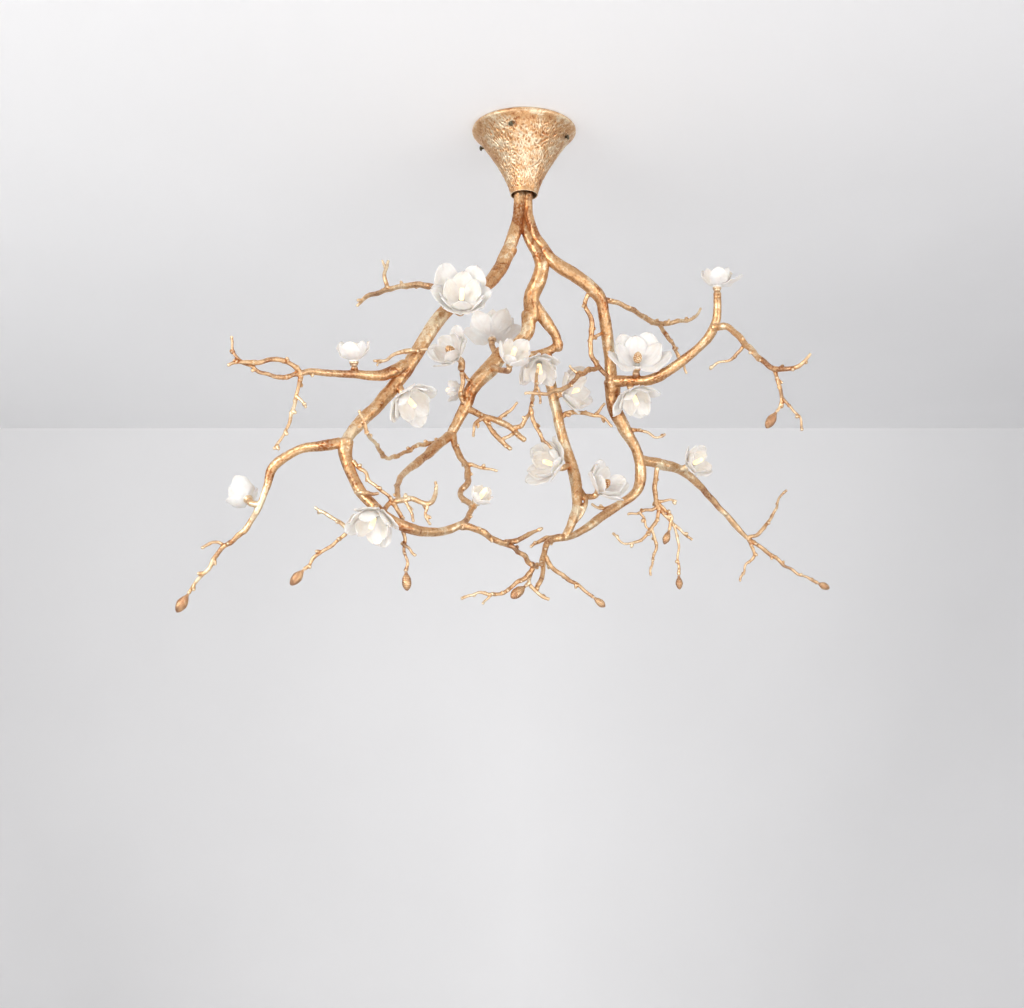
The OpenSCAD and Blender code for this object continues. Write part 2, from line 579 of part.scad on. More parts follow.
module inner_leads() {
    color("#f2f0ea") {
        stick([[15.4, 10, -14, lead_d], [13.4, 10, -14.4, lead_d], [10, 10, -22, lead_d],
            [10, 10, -62, lead_d], [10, 10, ferrule_t + 2 * seat_gap - trunk_top, lead_d]], 8);
        stick([[-19.4, -6, -10, lead_d], [-16, -6.4, -10.2, lead_d], [-4, -13.4, -12, lead_d],
            [12, -11.4, -12, lead_d], [15.4, -11, -12, lead_d]], 8);
    }
}

// -------------------------------------------------------------- branches
module trunk() {
    color(gilt) sticks([trunk_left, trunk_centre, trunk_right], limb_sides);
}

module left_limb() {
    color(gilt)
        difference() {
            union() {
                stick(left_limb_route, limb_sides);
                stalk(0);
                stalk(8);
            }
            bite(trunk_left, place(left_limb_route[0]));
        }
}

module centre_limb() {
    color(gilt)
        difference() {
            union() {
                sticks([centre_limb_route, loop_left, loop_right, loop_bar], limb_sides);
                stalk(5);
            }
            bite(trunk_centre, place(centre_limb_route[0]), reach = 3);
            bite(trunk_right, place(centre_limb_route[0]), reach = 3);
        }
}

module middle_branch() {
    color(gilt)
        difference() {
            union() {
                stick(middle_route, limb_sides);
                sticks([middle_strand_a, middle_strand_b]);
                stalk(2);
                stalk(3);
                stalk(4);
                stalk(7);
            }
            bite(loop_left, place(middle_route[0]));
            bite(loop_bar, place(middle_route[0]));
        }
}

module right_limb() {
    color(gilt)
        difference() {
            stick(right_limb_route, limb_sides);
            bite(trunk_right, place(right_limb_route[0]), reach = 3);
            bite(trunk_centre, place(right_limb_route[0]));
            bite(centre_limb_route, place(right_limb_route[0]), reach = 3);
        }
}

module right_lower_limb() {
    color(gilt)
        difference() {
            union() {
                stick(right_lower_route, limb_sides);
                sticks([right_lower_nub, right_side_nub]);
            }
            bite(right_limb_route, place(right_lower_route[0]));
        }
}

module left_arm() {
    color(gilt)
        difference() {
            union() {
                stick(left_arm_route, limb_sides);
                stalk(1);
            }
            bite(left_limb_route, place(left_arm_route[0]));
        }
}

module left_arm_twigs() {
    color(gilt)
        difference() {
            sticks([left_tip_a, left_tip_b, left_tip_up, left_hanging, left_hanging_side]);
            bite(left_arm_route, place(left_tip_a[0]));
        }
}

module left_limb_twigs() {
    color(gilt)
        difference() {
            sticks([upper_left, upper_left_up, upper_left_fork, small_upper, small_upper_fork]);
            bite(left_limb_route, place(upper_left[0]));
            bite(left_limb_route, place(small_upper[0]));
        }
}

module lower_left_arm() {
    color(gilt)
        difference() {
            union() {
                stick(lower_left_arm_route, limb_sides);
                stalk(9);
            }
            bite(left_limb_route, place(lower_left_arm_route[0]));
            bite(lower_left_route, place(lower_left_arm_route[0]));
        }
}

module left_bud_twig() {
    color(gilt)
        difference() {
            sticks([left_bud_route, left_bud_side]);
            bite(lower_left_arm_route, place(left_bud_route[0]));
        }
}

module lower_left_limb() {
    color(gilt)
        difference() {
            union() {
                stick(lower_left_route, limb_sides);
                stalk(10);
            }
            bite(left_limb_route, place(lower_left_route[0]));
        }
}

module crossing_twigs() {
    color(gilt)
        difference() {
            sticks([crossing_main, crossing_down, crossing_hanging, crossing_hanging_side,
                crossing_small, crossing_front, crossing_side, back_bud_a, back_bud_b]);
            bite(lower_left_route, place(crossing_front[1]), reach = 5);
            bite(centre_left_route, end_of(centre_left_route), twig_sides);
        }
}

module zigzag_twig() {
    color(gilt)
        difference() {
            union() {
                sticks([zigzag_route, zigzag_side]);
                stalk(11);
            }
            bite(middle_route, place(zigzag_route[0]));
            bite(lower_left_route, end_of(zigzag_route));
        }
}

module lower_centre_arm() {
    color(gilt)
        difference() {
            sticks([lower_centre_route, lower_centre_up, lower_centre_down]);
            bite(lower_left_route, place(lower_centre_route[0]));
            bite(zigzag_route, end_of(zigzag_route), twig_sides);
        }
}

module lower_centre_twigs() {
    color(gilt)
        difference() {
            sticks([cluster_stem, cluster_tip, cluster_right, cluster_link,
                cluster_down, cluster_bud_stub, cluster_left, cluster_left_side]);
            bite(right_lower_route, place(cluster_stem[0]));
            bite(centre_lower_route, place(cluster_stem[0]));
            bite(lower_centre_down, end_of(lower_centre_down), twig_sides);
        }
}

module centre_left_branch() {
    color(gilt)
        difference() {
            stick(centre_left_route);
            bite(middle_route, place(centre_left_route[0]));
            bite(zigzag_route, place(centre_left_route[0]), twig_sides, 1);
        }
}

module thin_twig() {
    color(gilt)
        difference() {
            stick(thin_route);
            bite(middle_route, place(thin_route[0]));
            bite(centre_left_route, place(thin_route[0]), twig_sides);
        }
}

module centre_twigs() {
    color(gilt)
        difference() {
            sticks([centre_twig_main, centre_twig_low, centre_twig_back, centre_twig_up,
                centre_twig_tall, centre_twig_tall_side, centre_twig_right, centre_twig_link]);
            bite(middle_route, place(centre_twig_main[0]));
            bite(middle_strand_a, place(centre_twig_main[0]), twig_sides);
        }
}

module centre_lower_limb() {
    color(gilt)
        difference() {
            union() {
                stick(centre_lower_route, limb_sides);
                stick(centre_lower_strand);
                stalk(6);
                stalk(12);
                stalk(13);
            }
            bite(loop_bar, place(centre_lower_route[0]));
            bite(right_lower_route, end_of(centre_lower_route));
        }
}

module centre_lower_twigs() {
    color(gilt)
        difference() {
            sticks([centre_lower_twig, centre_lower_fork]);
            bite(centre_lower_route, place(centre_lower_twig[0]));
        }
}

module right_arm() {
    color(gilt)
        difference() {
            union() {
                stick(right_arm_route, limb_sides);
                stalk(15);
                stalk(16);
                stalk(17);
            }
            bite(right_limb_route, place(right_arm_route[0]));
            bite(right_lower_route, place(right_arm_route[0]));
        }
}

module right_arm_twigs() {
    color(gilt)
        difference() {
            sticks([right_end, right_end_down, right_end_right, right_end_side]);
            bite(right_arm_route, place(right_end[0]));
        }
}

module upper_right_twig() {
    color(gilt)
        difference() {
            sticks([upper_right, upper_right_low]);
            bite(right_limb_route, place(upper_right[0]));
        }
}

module inner_right_twig() {
    color(gilt)
        difference() {
            sticks([inner_right, inner_right_link, inner_right_left, inner_right_side]);
            bite(right_limb_route, place(inner_right[0]));
            bite(right_limb_route, place(inner_right_link[0]));
            bite(right_limb_route, end_of(inner_right));
            bite(right_lower_route, end_of(inner_right));
            bite(right_arm_route, end_of(inner_right));
        }
}

module right_lower_arm() {
    color(gilt)
        difference() {
            union() {
                stick(right_lower_arm_route, limb_sides);
                stalk(14);
            }
            bite(right_lower_route, place(right_lower_arm_route[0]));
        }
}

module right_tip_twigs() {
    color(gilt)
        difference() {
            sticks([right_tip_up, right_tip_down, right_tip_right]);
            bite(right_lower_arm_route, place(right_tip_right[0]));
        }
}

module lower_right_twigs() {
    color(gilt)
        difference() {
            sticks([lower_right_stem, lower_right_a, lower_right_b, lower_right_c, lower_right_d,
                lower_right_e, lower_right_f, lower_right_g, lower_right_h]);
            bite(right_lower_arm_route, place(lower_right_stem[0]));
            bite(right_lower_route, place(lower_right_stem[0]), reach = 3);
        }
}

module leaf_buds() {
    color(gilt)
        for (b = buds)
            aim(end_of(b[0]) + seat_gap * unit(way_of(b[0])), way_of(b[0]))
                rotate_extrude($fn = 24)
                    polygon(concat([[0, 0], [2.5, 0]],
                        [for (k = [1:7]) let (s = k / 8)
                            [bud_d / 2 * b[1] * pow(sin(180 * pow(s, 0.8)), 0.8), bud_l * b[1] * s]],
                        [[0, bud_l * b[1]]]));
}

// --------------------------------------------------------- flower fittings
module flower_collars() {
    color(gilt)
        for (i = [0:len(flowers) - 1])
            at_flower(i)
                rotate_extrude($fn = 32)
                    polygon([[2, seat_gap], [stalk_d / 2, seat_gap], [collar_d / 2 - 1, collar_h / 2],
                        [collar_d / 2, collar_h - 2], [collar_d / 2, collar_h], [2, collar_h]]);
}

module lamp_holders() {
    color("#6f6f6c")
        for (i = [0:len(flowers) - 1])
            at_flower(i)
                translate([0, 0, collar_h + seat_gap]) cylinder(d = holder_d, h = holder_h, $fn = 32);
}

module capsule_lamps() {
    foot = collar_h + holder_h + 2 * seat_gap;
    color("#fff4d8")
        for (i = [0:len(flowers) - 1])
            if (len(search(i, coned)) == 0)
                at_flower(i)
                    translate([0, 0, foot]) {
                        cylinder(d = lamp_d, h = lamp_l - lamp_d / 2, $fn = 32);
                        translate([0, 0, lamp_l - lamp_d / 2]) sphere(d = lamp_d, $fn = 32);
                    }
}

module seed_cones() {
    foot = collar_h + holder_h + 2 * seat_gap;
    color(gilt)
        for (i = coned)
            at_flower(i)
                translate([0, 0, foot])
                    rotate_extrude($fn = 32)
                        polygon([[0, 0], [5, 0], [8, 4], [9, 9], [8, 14], [5.5, 18.5], [2.5, 21.5], [0, 22.5]]);
}

ceiling_plate();
canopy_shell();
canopy_screws();
hanger_tube();
hanger_nuts();
trunk_ferrule();
driver();
terminal_block();
inner_leads();
trunk();
left_limb();
centre_limb();
middle_branch();
right_limb();
right_lower_limb();
left_arm();
left_arm_twigs();
left_limb_twigs();
lower_left_arm();
left_bud_twig();
lower_left_limb();
crossing_twigs();
zigzag_twig();
lower_centre_arm();
lower_centre_twigs();
centre_left_branch();
thin_twig();
centre_twigs();
centre_lower_limb();
centre_lower_twigs();
right_arm();
right_arm_twigs();
upper_right_twig();
inner_right_twig();
right_lower_arm();
right_tip_twigs();
lower_right_twigs();
leaf_buds();
flower_collars();
lamp_holders();
capsule_lamps();
seed_cones();
for (i = [0:len(flowers) - 1])
    flower(i);
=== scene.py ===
"""Branch chandelier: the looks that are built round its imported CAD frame.

Gilded cast branches hang from a flared canopy and carry porcelain magnolias with small
capsule lamps. Lengths in the tables are millimetres in the frame of the CAD: the origin is
the ceiling plane on the canopy's axis, +Z is up and -Y faces the room. Every branch is a
closed surface carried along a route, so a new twig needs one line in BRANCHES.
"""

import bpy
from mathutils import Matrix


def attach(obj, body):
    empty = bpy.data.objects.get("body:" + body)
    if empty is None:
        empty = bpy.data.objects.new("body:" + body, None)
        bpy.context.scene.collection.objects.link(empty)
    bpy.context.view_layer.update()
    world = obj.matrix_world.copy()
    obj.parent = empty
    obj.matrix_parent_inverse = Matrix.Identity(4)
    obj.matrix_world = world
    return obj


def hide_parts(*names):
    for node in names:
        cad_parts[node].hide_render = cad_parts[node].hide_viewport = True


bl_info = {
    "name": "Branch chandelier",
    "version": (1, 0, 0),
    "blender": (4, 5, 0),
    "location": "3D View > Sidebar > Chandelier",
    "description": "Gilded branches, canopy and porcelain magnolias built round a CAD frame",
    "category": "Object",
}

import math

import bmesh
import bpy
import numpy as np

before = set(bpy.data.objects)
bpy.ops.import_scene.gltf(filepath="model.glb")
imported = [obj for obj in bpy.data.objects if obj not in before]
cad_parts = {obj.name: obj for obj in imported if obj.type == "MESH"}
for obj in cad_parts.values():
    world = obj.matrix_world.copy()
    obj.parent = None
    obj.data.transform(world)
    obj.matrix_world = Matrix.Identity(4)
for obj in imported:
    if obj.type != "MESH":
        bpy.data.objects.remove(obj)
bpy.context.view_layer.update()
MM = 0.001

# ------------------------------------------------------------------ tables
# Castings of the branchwork: the numbers of the flowers whose stalks each piece carries, and
# its routes, whose points are x, y, z and the diameter there.
BRANCHES = {
    "trunk": ((), {
        "trunk_left": [(-8, 0, -104, 22), (-8, 0, -130, 22), (-9, 0, -155, 22),
            (-11.5, 0, -180, 22), (-19, -1, -215, 24), (-29, -5, -251, 24)],
        "trunk_centre": [(0, 5, -140, 14), (-4, 4, -176, 16), (2, 5, -206, 19), (13, 5, -233, 22),
            (27, 5, -256, 24)],
        "trunk_right": [(8, 2, -104, 17), (8, 2, -130, 17), (8, 2, -146, 16), (11, 2, -181, 15),
            (23, 3, -219, 17), (40, 5, -245, 18)]}),
    "left_limb": ((0, 8), {
        "left_limb": [(-29, -5, -251, 24), (-37, -8, -269, 25), (-48, -16, -294, 25),
            (-70, -45, -335, 25), (-105, -80, -370, 25), (-140, -100, -400, 26),
            (-175, -125, -455, 25), (-200, -140, -505, 25), (-220, -150, -545, 24),
            (-260, -165, -600, 23), (-295, -185, -645, 21), (-315, -200, -680, 20)]}),
    "centre_limb": ((5,), {
        "centre_limb": [(28, 5, -258, 22), (34, 6, -278, 27), (27, 11, -306, 29),
            (15, 20, -340, 29), (15, 28, -374, 28)],
        "loop_left": [(9, 26, -374, 26), (5, 32, -405, 25), (-16, 44, -427, 24),
            (-47, 58, -448, 26)],
        "loop_right": [(21, 25, -352, 20), (40, 35, -379, 20), (60, 45, -406, 20),
            (66, 52, -429, 19)],
        "loop_bar": [(68, 52, -422, 16), (42, 55, -438, 17), (6, 57, -446, 17),
            (-40, 58, -450, 17)]}),
    "middle_branch": ((2, 3, 4, 7), {
        "middle": [(-45, 58, -442, 28), (-66, 60, -470, 31), (-90, 62, -495, 31),
            (-105, 62, -516, 28), (-112, 62, -540, 24), (-125, 62, -567, 21),
            (-142, 60, -605, 18)],
        "middle_strand_a": [(-111, 60, -556, 9), (-122, 50, -524, 8), (-118, 42, -500, 8),
            (-122, 37, -482, 8)],
        "middle_strand_b": [(-98, 62, -506, 7), (-108, 50, -494, 6), (-122, 38, -482, 6)]}),
    "right_limb": ((), {
        "right_limb": [(40, 5, -248, 19), (61, 8, -274, 24), (96, 14, -295, 26),
            (126, 24, -314, 25), (148, 40, -334, 25), (157, 55, -365, 24), (164, 75, -407, 23),
            (171, 95, -452, 23), (174, 105, -490, 24)]}),
    "right_lower_limb": ((), {
        "right_lower": [(174, 105, -487, 27), (179, 120, -534, 26), (198, 135, -570, 23),
            (223, 155, -610, 22), (233, 165, -645, 21), (225, 165, -690, 19), (189, 150, -721, 18),
            (148, 120, -754, 17), (107, 90, -787, 16), (77, 65, -802, 16)],
        "right_lower_nub": [(180, 146, -722, 8), (154, 137, -731, 6), (131, 131, -724, 3)],
        "right_side_nub": [(206, 138, -572, 8), (240, 132, -577, 6), (259, 128, -592, 5),
            (280, 124, -585, 3)]}),
    "left_arm": ((1,), {
        "left_arm": [(-212, -146, -522, 20), (-235, -165, -540, 21), (-260, -180, -554, 18),
            (-300, -205, -559, 14), (-340, -230, -564, 13), (-370, -250, -567, 11),
            (-392, -266, -576, 10)]}),
    "left_arm_twigs": ((), {
        "left_tip_a": [(-386, -262, -574, 8), (-401, -275, -561, 8), (-427, -285, -554, 8),
            (-450, -292, -562, 8), (-484, -305, -566, 7), (-505, -312, -574, 4)],
        "left_tip_b": [(-386, -263, -576, 7), (-415, -270, -582, 7), (-444, -280, -580, 7),
            (-466, -292, -571, 6), (-482, -303, -566, 5)],
        "left_tip_up": [(-480, -303, -568, 6), (-495, -305, -548, 5), (-500, -310, -521, 3)],
        "left_hanging": [(-386, -262, -576, 7), (-392, -265, -604, 6), (-397, -270, -640, 6),
            (-410, -280, -685, 5), (-425, -290, -715, 3)],
        "left_hanging_side": [(-393, -266, -614, 5), (-375, -272, -638, 3)]}),
    "left_limb_twigs": ((), {
        "upper_left": [(-138, -102, -398, 11), (-150, -90, -378, 11), (-165, -70, -352, 14),
            (-198, -45, -336, 13), (-242, -10, -328, 10), (-284, 30, -326, 9), (-310, 55, -324, 8),
            (-330, 70, -340, 4)],
        "upper_left_up": [(-261, 9, -327, 7), (-270, 15, -298, 7), (-268, 18, -276, 6),
            (-264, 20, -262, 3)],
        "upper_left_fork": [(-269, 18, -282, 4), (-277, 22, -261, 3)],
        "small_upper": [(-176, -146, -494, 5), (-198, -154, -500, 8), (-221, -168, -506, 7),
            (-245, -182, -524, 6), (-270, -195, -531, 4)],
        "small_upper_fork": [(-256, -188, -527, 5), (-263, -197, -541, 3)]}),
    "lower_left_arm": ((9,), {
        "lower_left_arm": [(-318, -201, -680, 16), (-341, -205, -687, 18), (-385, -200, -691, 17),
            (-420, -195, -705, 16), (-443, -190, -725, 15), (-452, -185, -755, 14),
            (-462, -180, -783, 14), (-472, -175, -803, 13)]}),
    "left_bud_twig": ((), {
        "left_bud": [(-468, -177, -797, 9), (-490, -165, -826, 9), (-511, -158, -846, 8),
            (-534, -150, -859, 8), (-558, -140, -893, 7), (-581, -130, -918, 6),
            (-595, -125, -938, 6)],
        "left_bud_side": [(-528, -152, -855, 5), (-550, -155, -851, 5), (-568, -160, -862, 3)]}),
    "lower_left_limb": ((10,), {
        "lower_left": [(-315, -200, -672, 22), (-313, -205, -705, 21), (-300, -215, -742, 20),
            (-275, -230, -785, 19), (-240, -235, -818, 18), (-207, -225, -836, 18),
            (-166, -190, -838, 17), (-136, -165, -830, 16), (-112, -150, -818, 14),
            (-98, -141, -821, 12)]}),
    "crossing_twigs": ((), {
        "crossing_main": [(-248, -238, -812, 9), (-230, -215, -792, 8), (-199, -198, -779, 9),
            (-172, -182, -787, 8), (-159, -172, -771, 7), (-158, -165, -742, 4)],
        "crossing_down": [(-172, -184, -784, 6), (-174, -182, -805, 5), (-165, -180, -824, 3)],
        "crossing_hanging": [(-230, -215, -791, 7), (-215, -212, -812, 7), (-211, -207, -846, 6),
            (-208, -200, -880, 5), (-206, -196, -909, 6)],
        "crossing_hanging_side": [(-211, -205, -860, 5), (-188, -206, -883, 3)],
        "crossing_small": [(-211, -203, -784, 5), (-198, -206, -806, 5), (-193, -208, -824, 3)],
        "crossing_front": [(-294, -234, -776, 4), (-273, -243, -783, 8), (-250, -244, -780, 5)],
        "crossing_side": [(-300, -214, -716, 6), (-276, -222, -742, 6), (-253, -230, -770, 6),
            (-228, -216, -789, 7)],
        "back_bud_a": [(-244, -232, -818, 8), (-262, -205, -828, 8), (-302, -192, -834, 8),
            (-338, -190, -811, 6), (-368, -188, -793, 4)],
        "back_bud_b": [(-298, -193, -833, 7), (-323, -192, -853, 6), (-358, -190, -876, 6),
            (-384, -186, -904, 6)]}),
    "zigzag_twig": ((11,), {
        "zigzag": [(-140, 61, -598, 14), (-127, 35, -642, 12), (-110, 10, -675, 12),
            (-106, -20, -710, 11), (-119, -55, -745, 10), (-97, -85, -770, 10),
            (-102, -120, -798, 10), (-113, -146, -817, 9)],
        "zigzag_side": [(-110, 11, -673, 8), (-84, 5, -677, 6), (-50, 0, -688, 4)]}),
    "lower_centre_arm": ((), {
        "lower_centre": [(-116, -152, -820, 12), (-80, -130, -825, 12), (-54, -105, -837, 11),
            (-31, -88, -840, 10)],
        "lower_centre_up": [(-38, -93, -840, 9), (0, -65, -825, 8), (33, -40, -803, 5)],
        "lower_centre_down": [(-38, -92, -839, 9), (-10, -65, -852, 9), (17, -26, -875, 9)]}),
    "lower_centre_twigs": ((), {
        "cluster_stem": [(80, 67, -800, 11), (44, 45, -815, 11), (34, 25, -845, 10),
            (34, 8, -878, 9), (21, -8, -914, 7)],
        "cluster_tip": [(72, 62, -802, 10), (40, 55, -809, 8), (10, 48, -824, 4)],
        "cluster_right": [(35, 25, -843, 9), (59, 32, -872, 8), (98, 42, -895, 7),
            (131, 52, -920, 6)],
        "cluster_link": [(14, -26, -873, 6), (34, 14, -862, 6)],
        "cluster_down": [(16, -26, -872, 8), (8, -15, -902, 7), (30, -5, -922, 6),
            (46, 0, -931, 4)],
        "cluster_bud_stub": [(10, -14, -900, 7), (0, -20, -909, 6)],
        "cluster_left": [(12, -24, -882, 8), (-24, -32, -912, 7), (-60, -42, -928, 6),
            (-90, -52, -925, 5), (-116, -62, -938, 3)],
        "cluster_left_side": [(-62, -42, -928, 4), (-78, -47, -945, 3)]}),
    "centre_left_branch": ((), {
        "centre_left": [(-143, 57, -603, 16), (-168, 20, -636, 17), (-194, -40, -677, 15),
            (-219, -100, -713, 12), (-226, -150, -746, 9), (-221, -202, -786, 8)]}),
    "thin_twig": ((), {
        "thin": [(-144, 55, -607, 8), (-170, 30, -624, 7), (-200, -8, -640, 8),
            (-222, -50, -662, 7), (-248, -110, -688, 7), (-268, -170, -676, 6),
            (-279, -208, -660, 6), (-290, -220, -627, 4)]}),
    "centre_twigs": ((), {
        "centre_twig_main": [(-113, 62, -546, 13), (-78, 60, -566, 12), (-37, 55, -582, 11),
            (3, 50, -617, 10)],
        "centre_twig_low": [(-80, 60, -565, 9), (-64, 60, -593, 8), (-48, 62, -610, 9),
            (-24, 65, -631, 8)],
        "centre_twig_back": [(-74, 60, -567, 7), (-95, 48, -586, 6), (-97, 44, -611, 3)],
        "centre_twig_up": [(-54, 57, -576, 7), (-31, 55, -556, 6), (-12, 50, -540, 4)],
        "centre_twig_tall": [(-22, 53, -592, 8), (1, 46, -581, 8), (13, 20, -552, 7),
            (22, -25, -525, 6), (25, -50, -497, 4)],
        "centre_twig_tall_side": [(22, -22, -528, 5), (29, -20, -545, 4), (29, -20, -563, 3)],
        "centre_twig_right": [(12, 28, -558, 7), (26, 30, -600, 7), (52, 22, -640, 5)],
        "centre_twig_link": [(-16, 54, -598, 6), (-42, 61, -611, 6)]}),
    "centre_lower_limb": ((6, 12, 13), {
        "centre_lower": [(43, 57, -440, 19), (47, 70, -474, 22), (57, 88, -517, 23),
            (68, 96, -570, 22), (84, 98, -628, 22), (99, 95, -680, 21), (102, 86, -726, 19),
            (93, 73, -767, 18), (80, 66, -798, 16)],
        "centre_lower_strand": [(102, 94, -692, 8), (118, 92, -718, 8), (113, 82, -745, 8),
            (96, 75, -772, 7)]}),
    "centre_lower_twigs": ((), {
        "centre_lower_twig": [(68, 95, -562, 9), (94, 90, -551, 8), (142, 80, -558, 7),
            (172, 75, -583, 4)],
        "centre_lower_fork": [(138, 81, -558, 6), (158, 78, -534, 3)]}),
    "right_arm": ((15, 16, 17), {
        "right_arm": [(172, 104, -484, 20), (208, 84, -488, 20), (245, 65, -490, 20),
            (282, 45, -477, 19), (319, 28, -452, 18), (352, 14, -422, 18), (369, 5, -388, 17),
            (371, 0, -343, 17)]}),
    "right_arm_twigs": ((), {
        "right_end": [(360, 5, -404, 12), (387, -15, -410, 11), (410, -40, -445, 11),
            (432, -70, -484, 10), (454, -95, -515, 9), (474, -115, -522, 8), (497, -130, -523, 7),
            (518, -140, -500, 3)],
        "right_end_down": [(454, -94, -512, 7), (465, -100, -548, 7), (469, -105, -578, 6),
            (458, -101, -600, 6)],
        "right_end_right": [(467, -104, -570, 5), (484, -110, -596, 5), (497, -114, -616, 4),
            (501, -115, -639, 3)],
        "right_end_side": [(414, -44, -451, 6), (402, -35, -469, 6), (379, -20, -479, 5),
            (351, -5, -490, 3)]}),
    "upper_right_twig": ((), {
        "upper_right": [(148, 42, -335, 10), (188, 60, -338, 9), (231, 100, -345, 9),
            (273, 150, -350, 10), (315, 180, -334, 8), (347, 200, -323, 7), (368, 215, -294, 3)],
        "upper_right_low": [(269, 147, -347, 8), (303, 190, -377, 7), (322, 215, -401, 7),
            (337, 230, -431, 3)]}),
    "inner_right_twig": ((), {
        "inner_right": [(130, 32, -316, 8), (119, 42, -345, 8), (132, 48, -374, 9),
            (130, 58, -413, 9), (132, 66, -446, 9), (152, 82, -466, 9), (172, 96, -480, 7)],
        "inner_right_link": [(160, 68, -392, 6), (130, 56, -410, 6)],
        "inner_right_left": [(148, 78, -462, 8), (124, 55, -474, 9), (104, 28, -494, 8),
            (79, -2, -524, 8), (38, -38, -548, 7), (-1, -50, -550, 3)],
        "inner_right_side": [(105, 31, -492, 6), (86, 30, -472, 4)]}),
    "right_lower_arm": ((14,), {
        "right_lower_arm": [(229, 162, -627, 17), (274, 190, -630, 20), (317, 220, -636, 18),
            (355, 250, -657, 15), (395, 285, -691, 13), (440, 315, -732, 11),
            (468, 330, -759, 9)]}),
    "right_tip_twigs": ((), {
        "right_tip_up": [(467, 329, -757, 7), (495, 335, -743, 7), (524, 342, -708, 6),
            (539, 348, -672, 5), (557, 350, -650, 3)],
        "right_tip_down": [(469, 331, -760, 6), (483, 338, -791, 6), (462, 342, -816, 5),
            (451, 344, -847, 3)],
        "right_tip_right": [(466, 329, -757, 8), (534, 355, -800, 7), (583, 375, -826, 6),
            (623, 390, -843, 6)]}),
    "lower_right_twigs": ((), {
        "lower_right_stem": [(270, 190, -629, 9), (262, 191, -672, 9), (265, 195, -703, 9),
            (273, 197, -727, 8)],
        "lower_right_a": [(267, 195, -706, 6), (308, 202, -704, 3)],
        "lower_right_b": [(268, 195, -710, 6), (297, 202, -735, 6), (291, 206, -764, 6)],
        "lower_right_c": [(270, 196, -722, 6), (299, 206, -750, 6), (340, 222, -780, 3)],
        "lower_right_d": [(297, 205, -746, 5), (311, 212, -792, 5), (309, 217, -821, 5),
            (310, 220, -853, 6)],
        "lower_right_e": [(269, 196, -717, 7), (232, 189, -729, 6), (206, 186, -735, 3)],
        "lower_right_f": [(230, 188, -728, 5), (252, 194, -767, 5)],
        "lower_right_g": [(272, 197, -724, 7), (256, 194, -761, 7), (231, 190, -788, 6),
            (201, 185, -794, 5), (175, 180, -773, 3)],
        "lower_right_h": [(254, 194, -761, 6), (264, 205, -801, 6), (256, 208, -827, 5),
            (253, 210, -855, 3)]}),
}
ROUTES = {name: route for _, routes in BRANCHES.values()
    for name, route in routes.items()}

# Routes whose two ends run on into the next branches.
RUNS_ON = ("trunk_left", "trunk_centre", "trunk_right", "left_limb", "centre_limb",
    "loop_left", "loop_right", "loop_bar", "middle", "right_limb", "right_lower",
    "centre_lower")

# Leaf buds: the route that each one ends, and its size.
BUDS = [("left_bud", 1.1), ("back_bud_b", 1), ("crossing_hanging", 0.95),
    ("cluster_right", 0.8), ("lower_right_b", 0.85), ("lower_right_d", 0.8),
    ("right_tip_right", 0.85), ("right_end_down", 1), ("cluster_bud_stub", 1.1)]

# Flowers: seat, turn about the vertical (0 faces the room, 90 the right), lift above
# level, kind, size, spin and the root of the stalk on its branch.
FLOWERS = [
    ((-117, -118, -407), 5, 45, 3, 1.1, 0, (-134, -104, -402)),
    ((-302, -205, -543), -10, 75, 1, 1, 0, (-302, -206, -560)),
    ((-126, 28, -460), -40, 25, 0, 0.98, 40, (-122, 37, -482)),
    ((-63, 85, -408), 180, 60, 2, 1.1, 0, (-52, 64, -445)),
    ((-29, -12, -487), 25, 48, 1, 1.12, 20, (-66, 60, -468)),
    ((27, 38, -457), 10, -60, 0, 0.92, 0, (24, 50, -444)),
    ((72, 82, -515), 60, 5, 0, 1.05, 30, (57, 88, -517)),
    ((-115, 77, -511), -110, 10, 1, 0.7, 0, (-96, 62, -506)),
    ((-217, -165, -583), 50, -45, 0, 1, 10, (-230, -154, -560)),
    ((-484, -170, -779), -140, 35, 1, 1, 30, (-464, -179, -789)),
    ((-254, -252, -812), -20, -60, 0, 1, 50, (-240, -235, -816)),
    ((-91, -96, -770), 40, 35, 1, 0.75, 0, (-97, -86, -771)),
    ((67, 76, -662), -50, 8, 0, 1.05, 0, (92, 97, -655)),
    ((141, 96, -710), 45, 33, 0, 1, 45, (101, 88, -722)),
    ((332, 206, -631), 40, 10, 0, 0.8, 15, (309, 215, -634)),
    ((371, 0, -333), 0, 85, 4, 1, 0, (371, 0, -350)),
    ((219, 66, -473), 5, 55, 2, 1.15, 0, (217, 81, -488)),
    ((209, 76, -508), 30, -60, 0, 0.95, 0, (209, 83, -488)),
]
# The flowers that carry a seed cone, the degrees that a flower's petals sag towards the room,
# and how far its petals come to a point.
CONED = (2, 13, 16)
LEAN = {0: 22, 4: 14, 16: 20}
POINT, SOFT_POINT = {3: 0.85, 5: 0.5, 6: 0.62, 17: 0.55}, 0.3

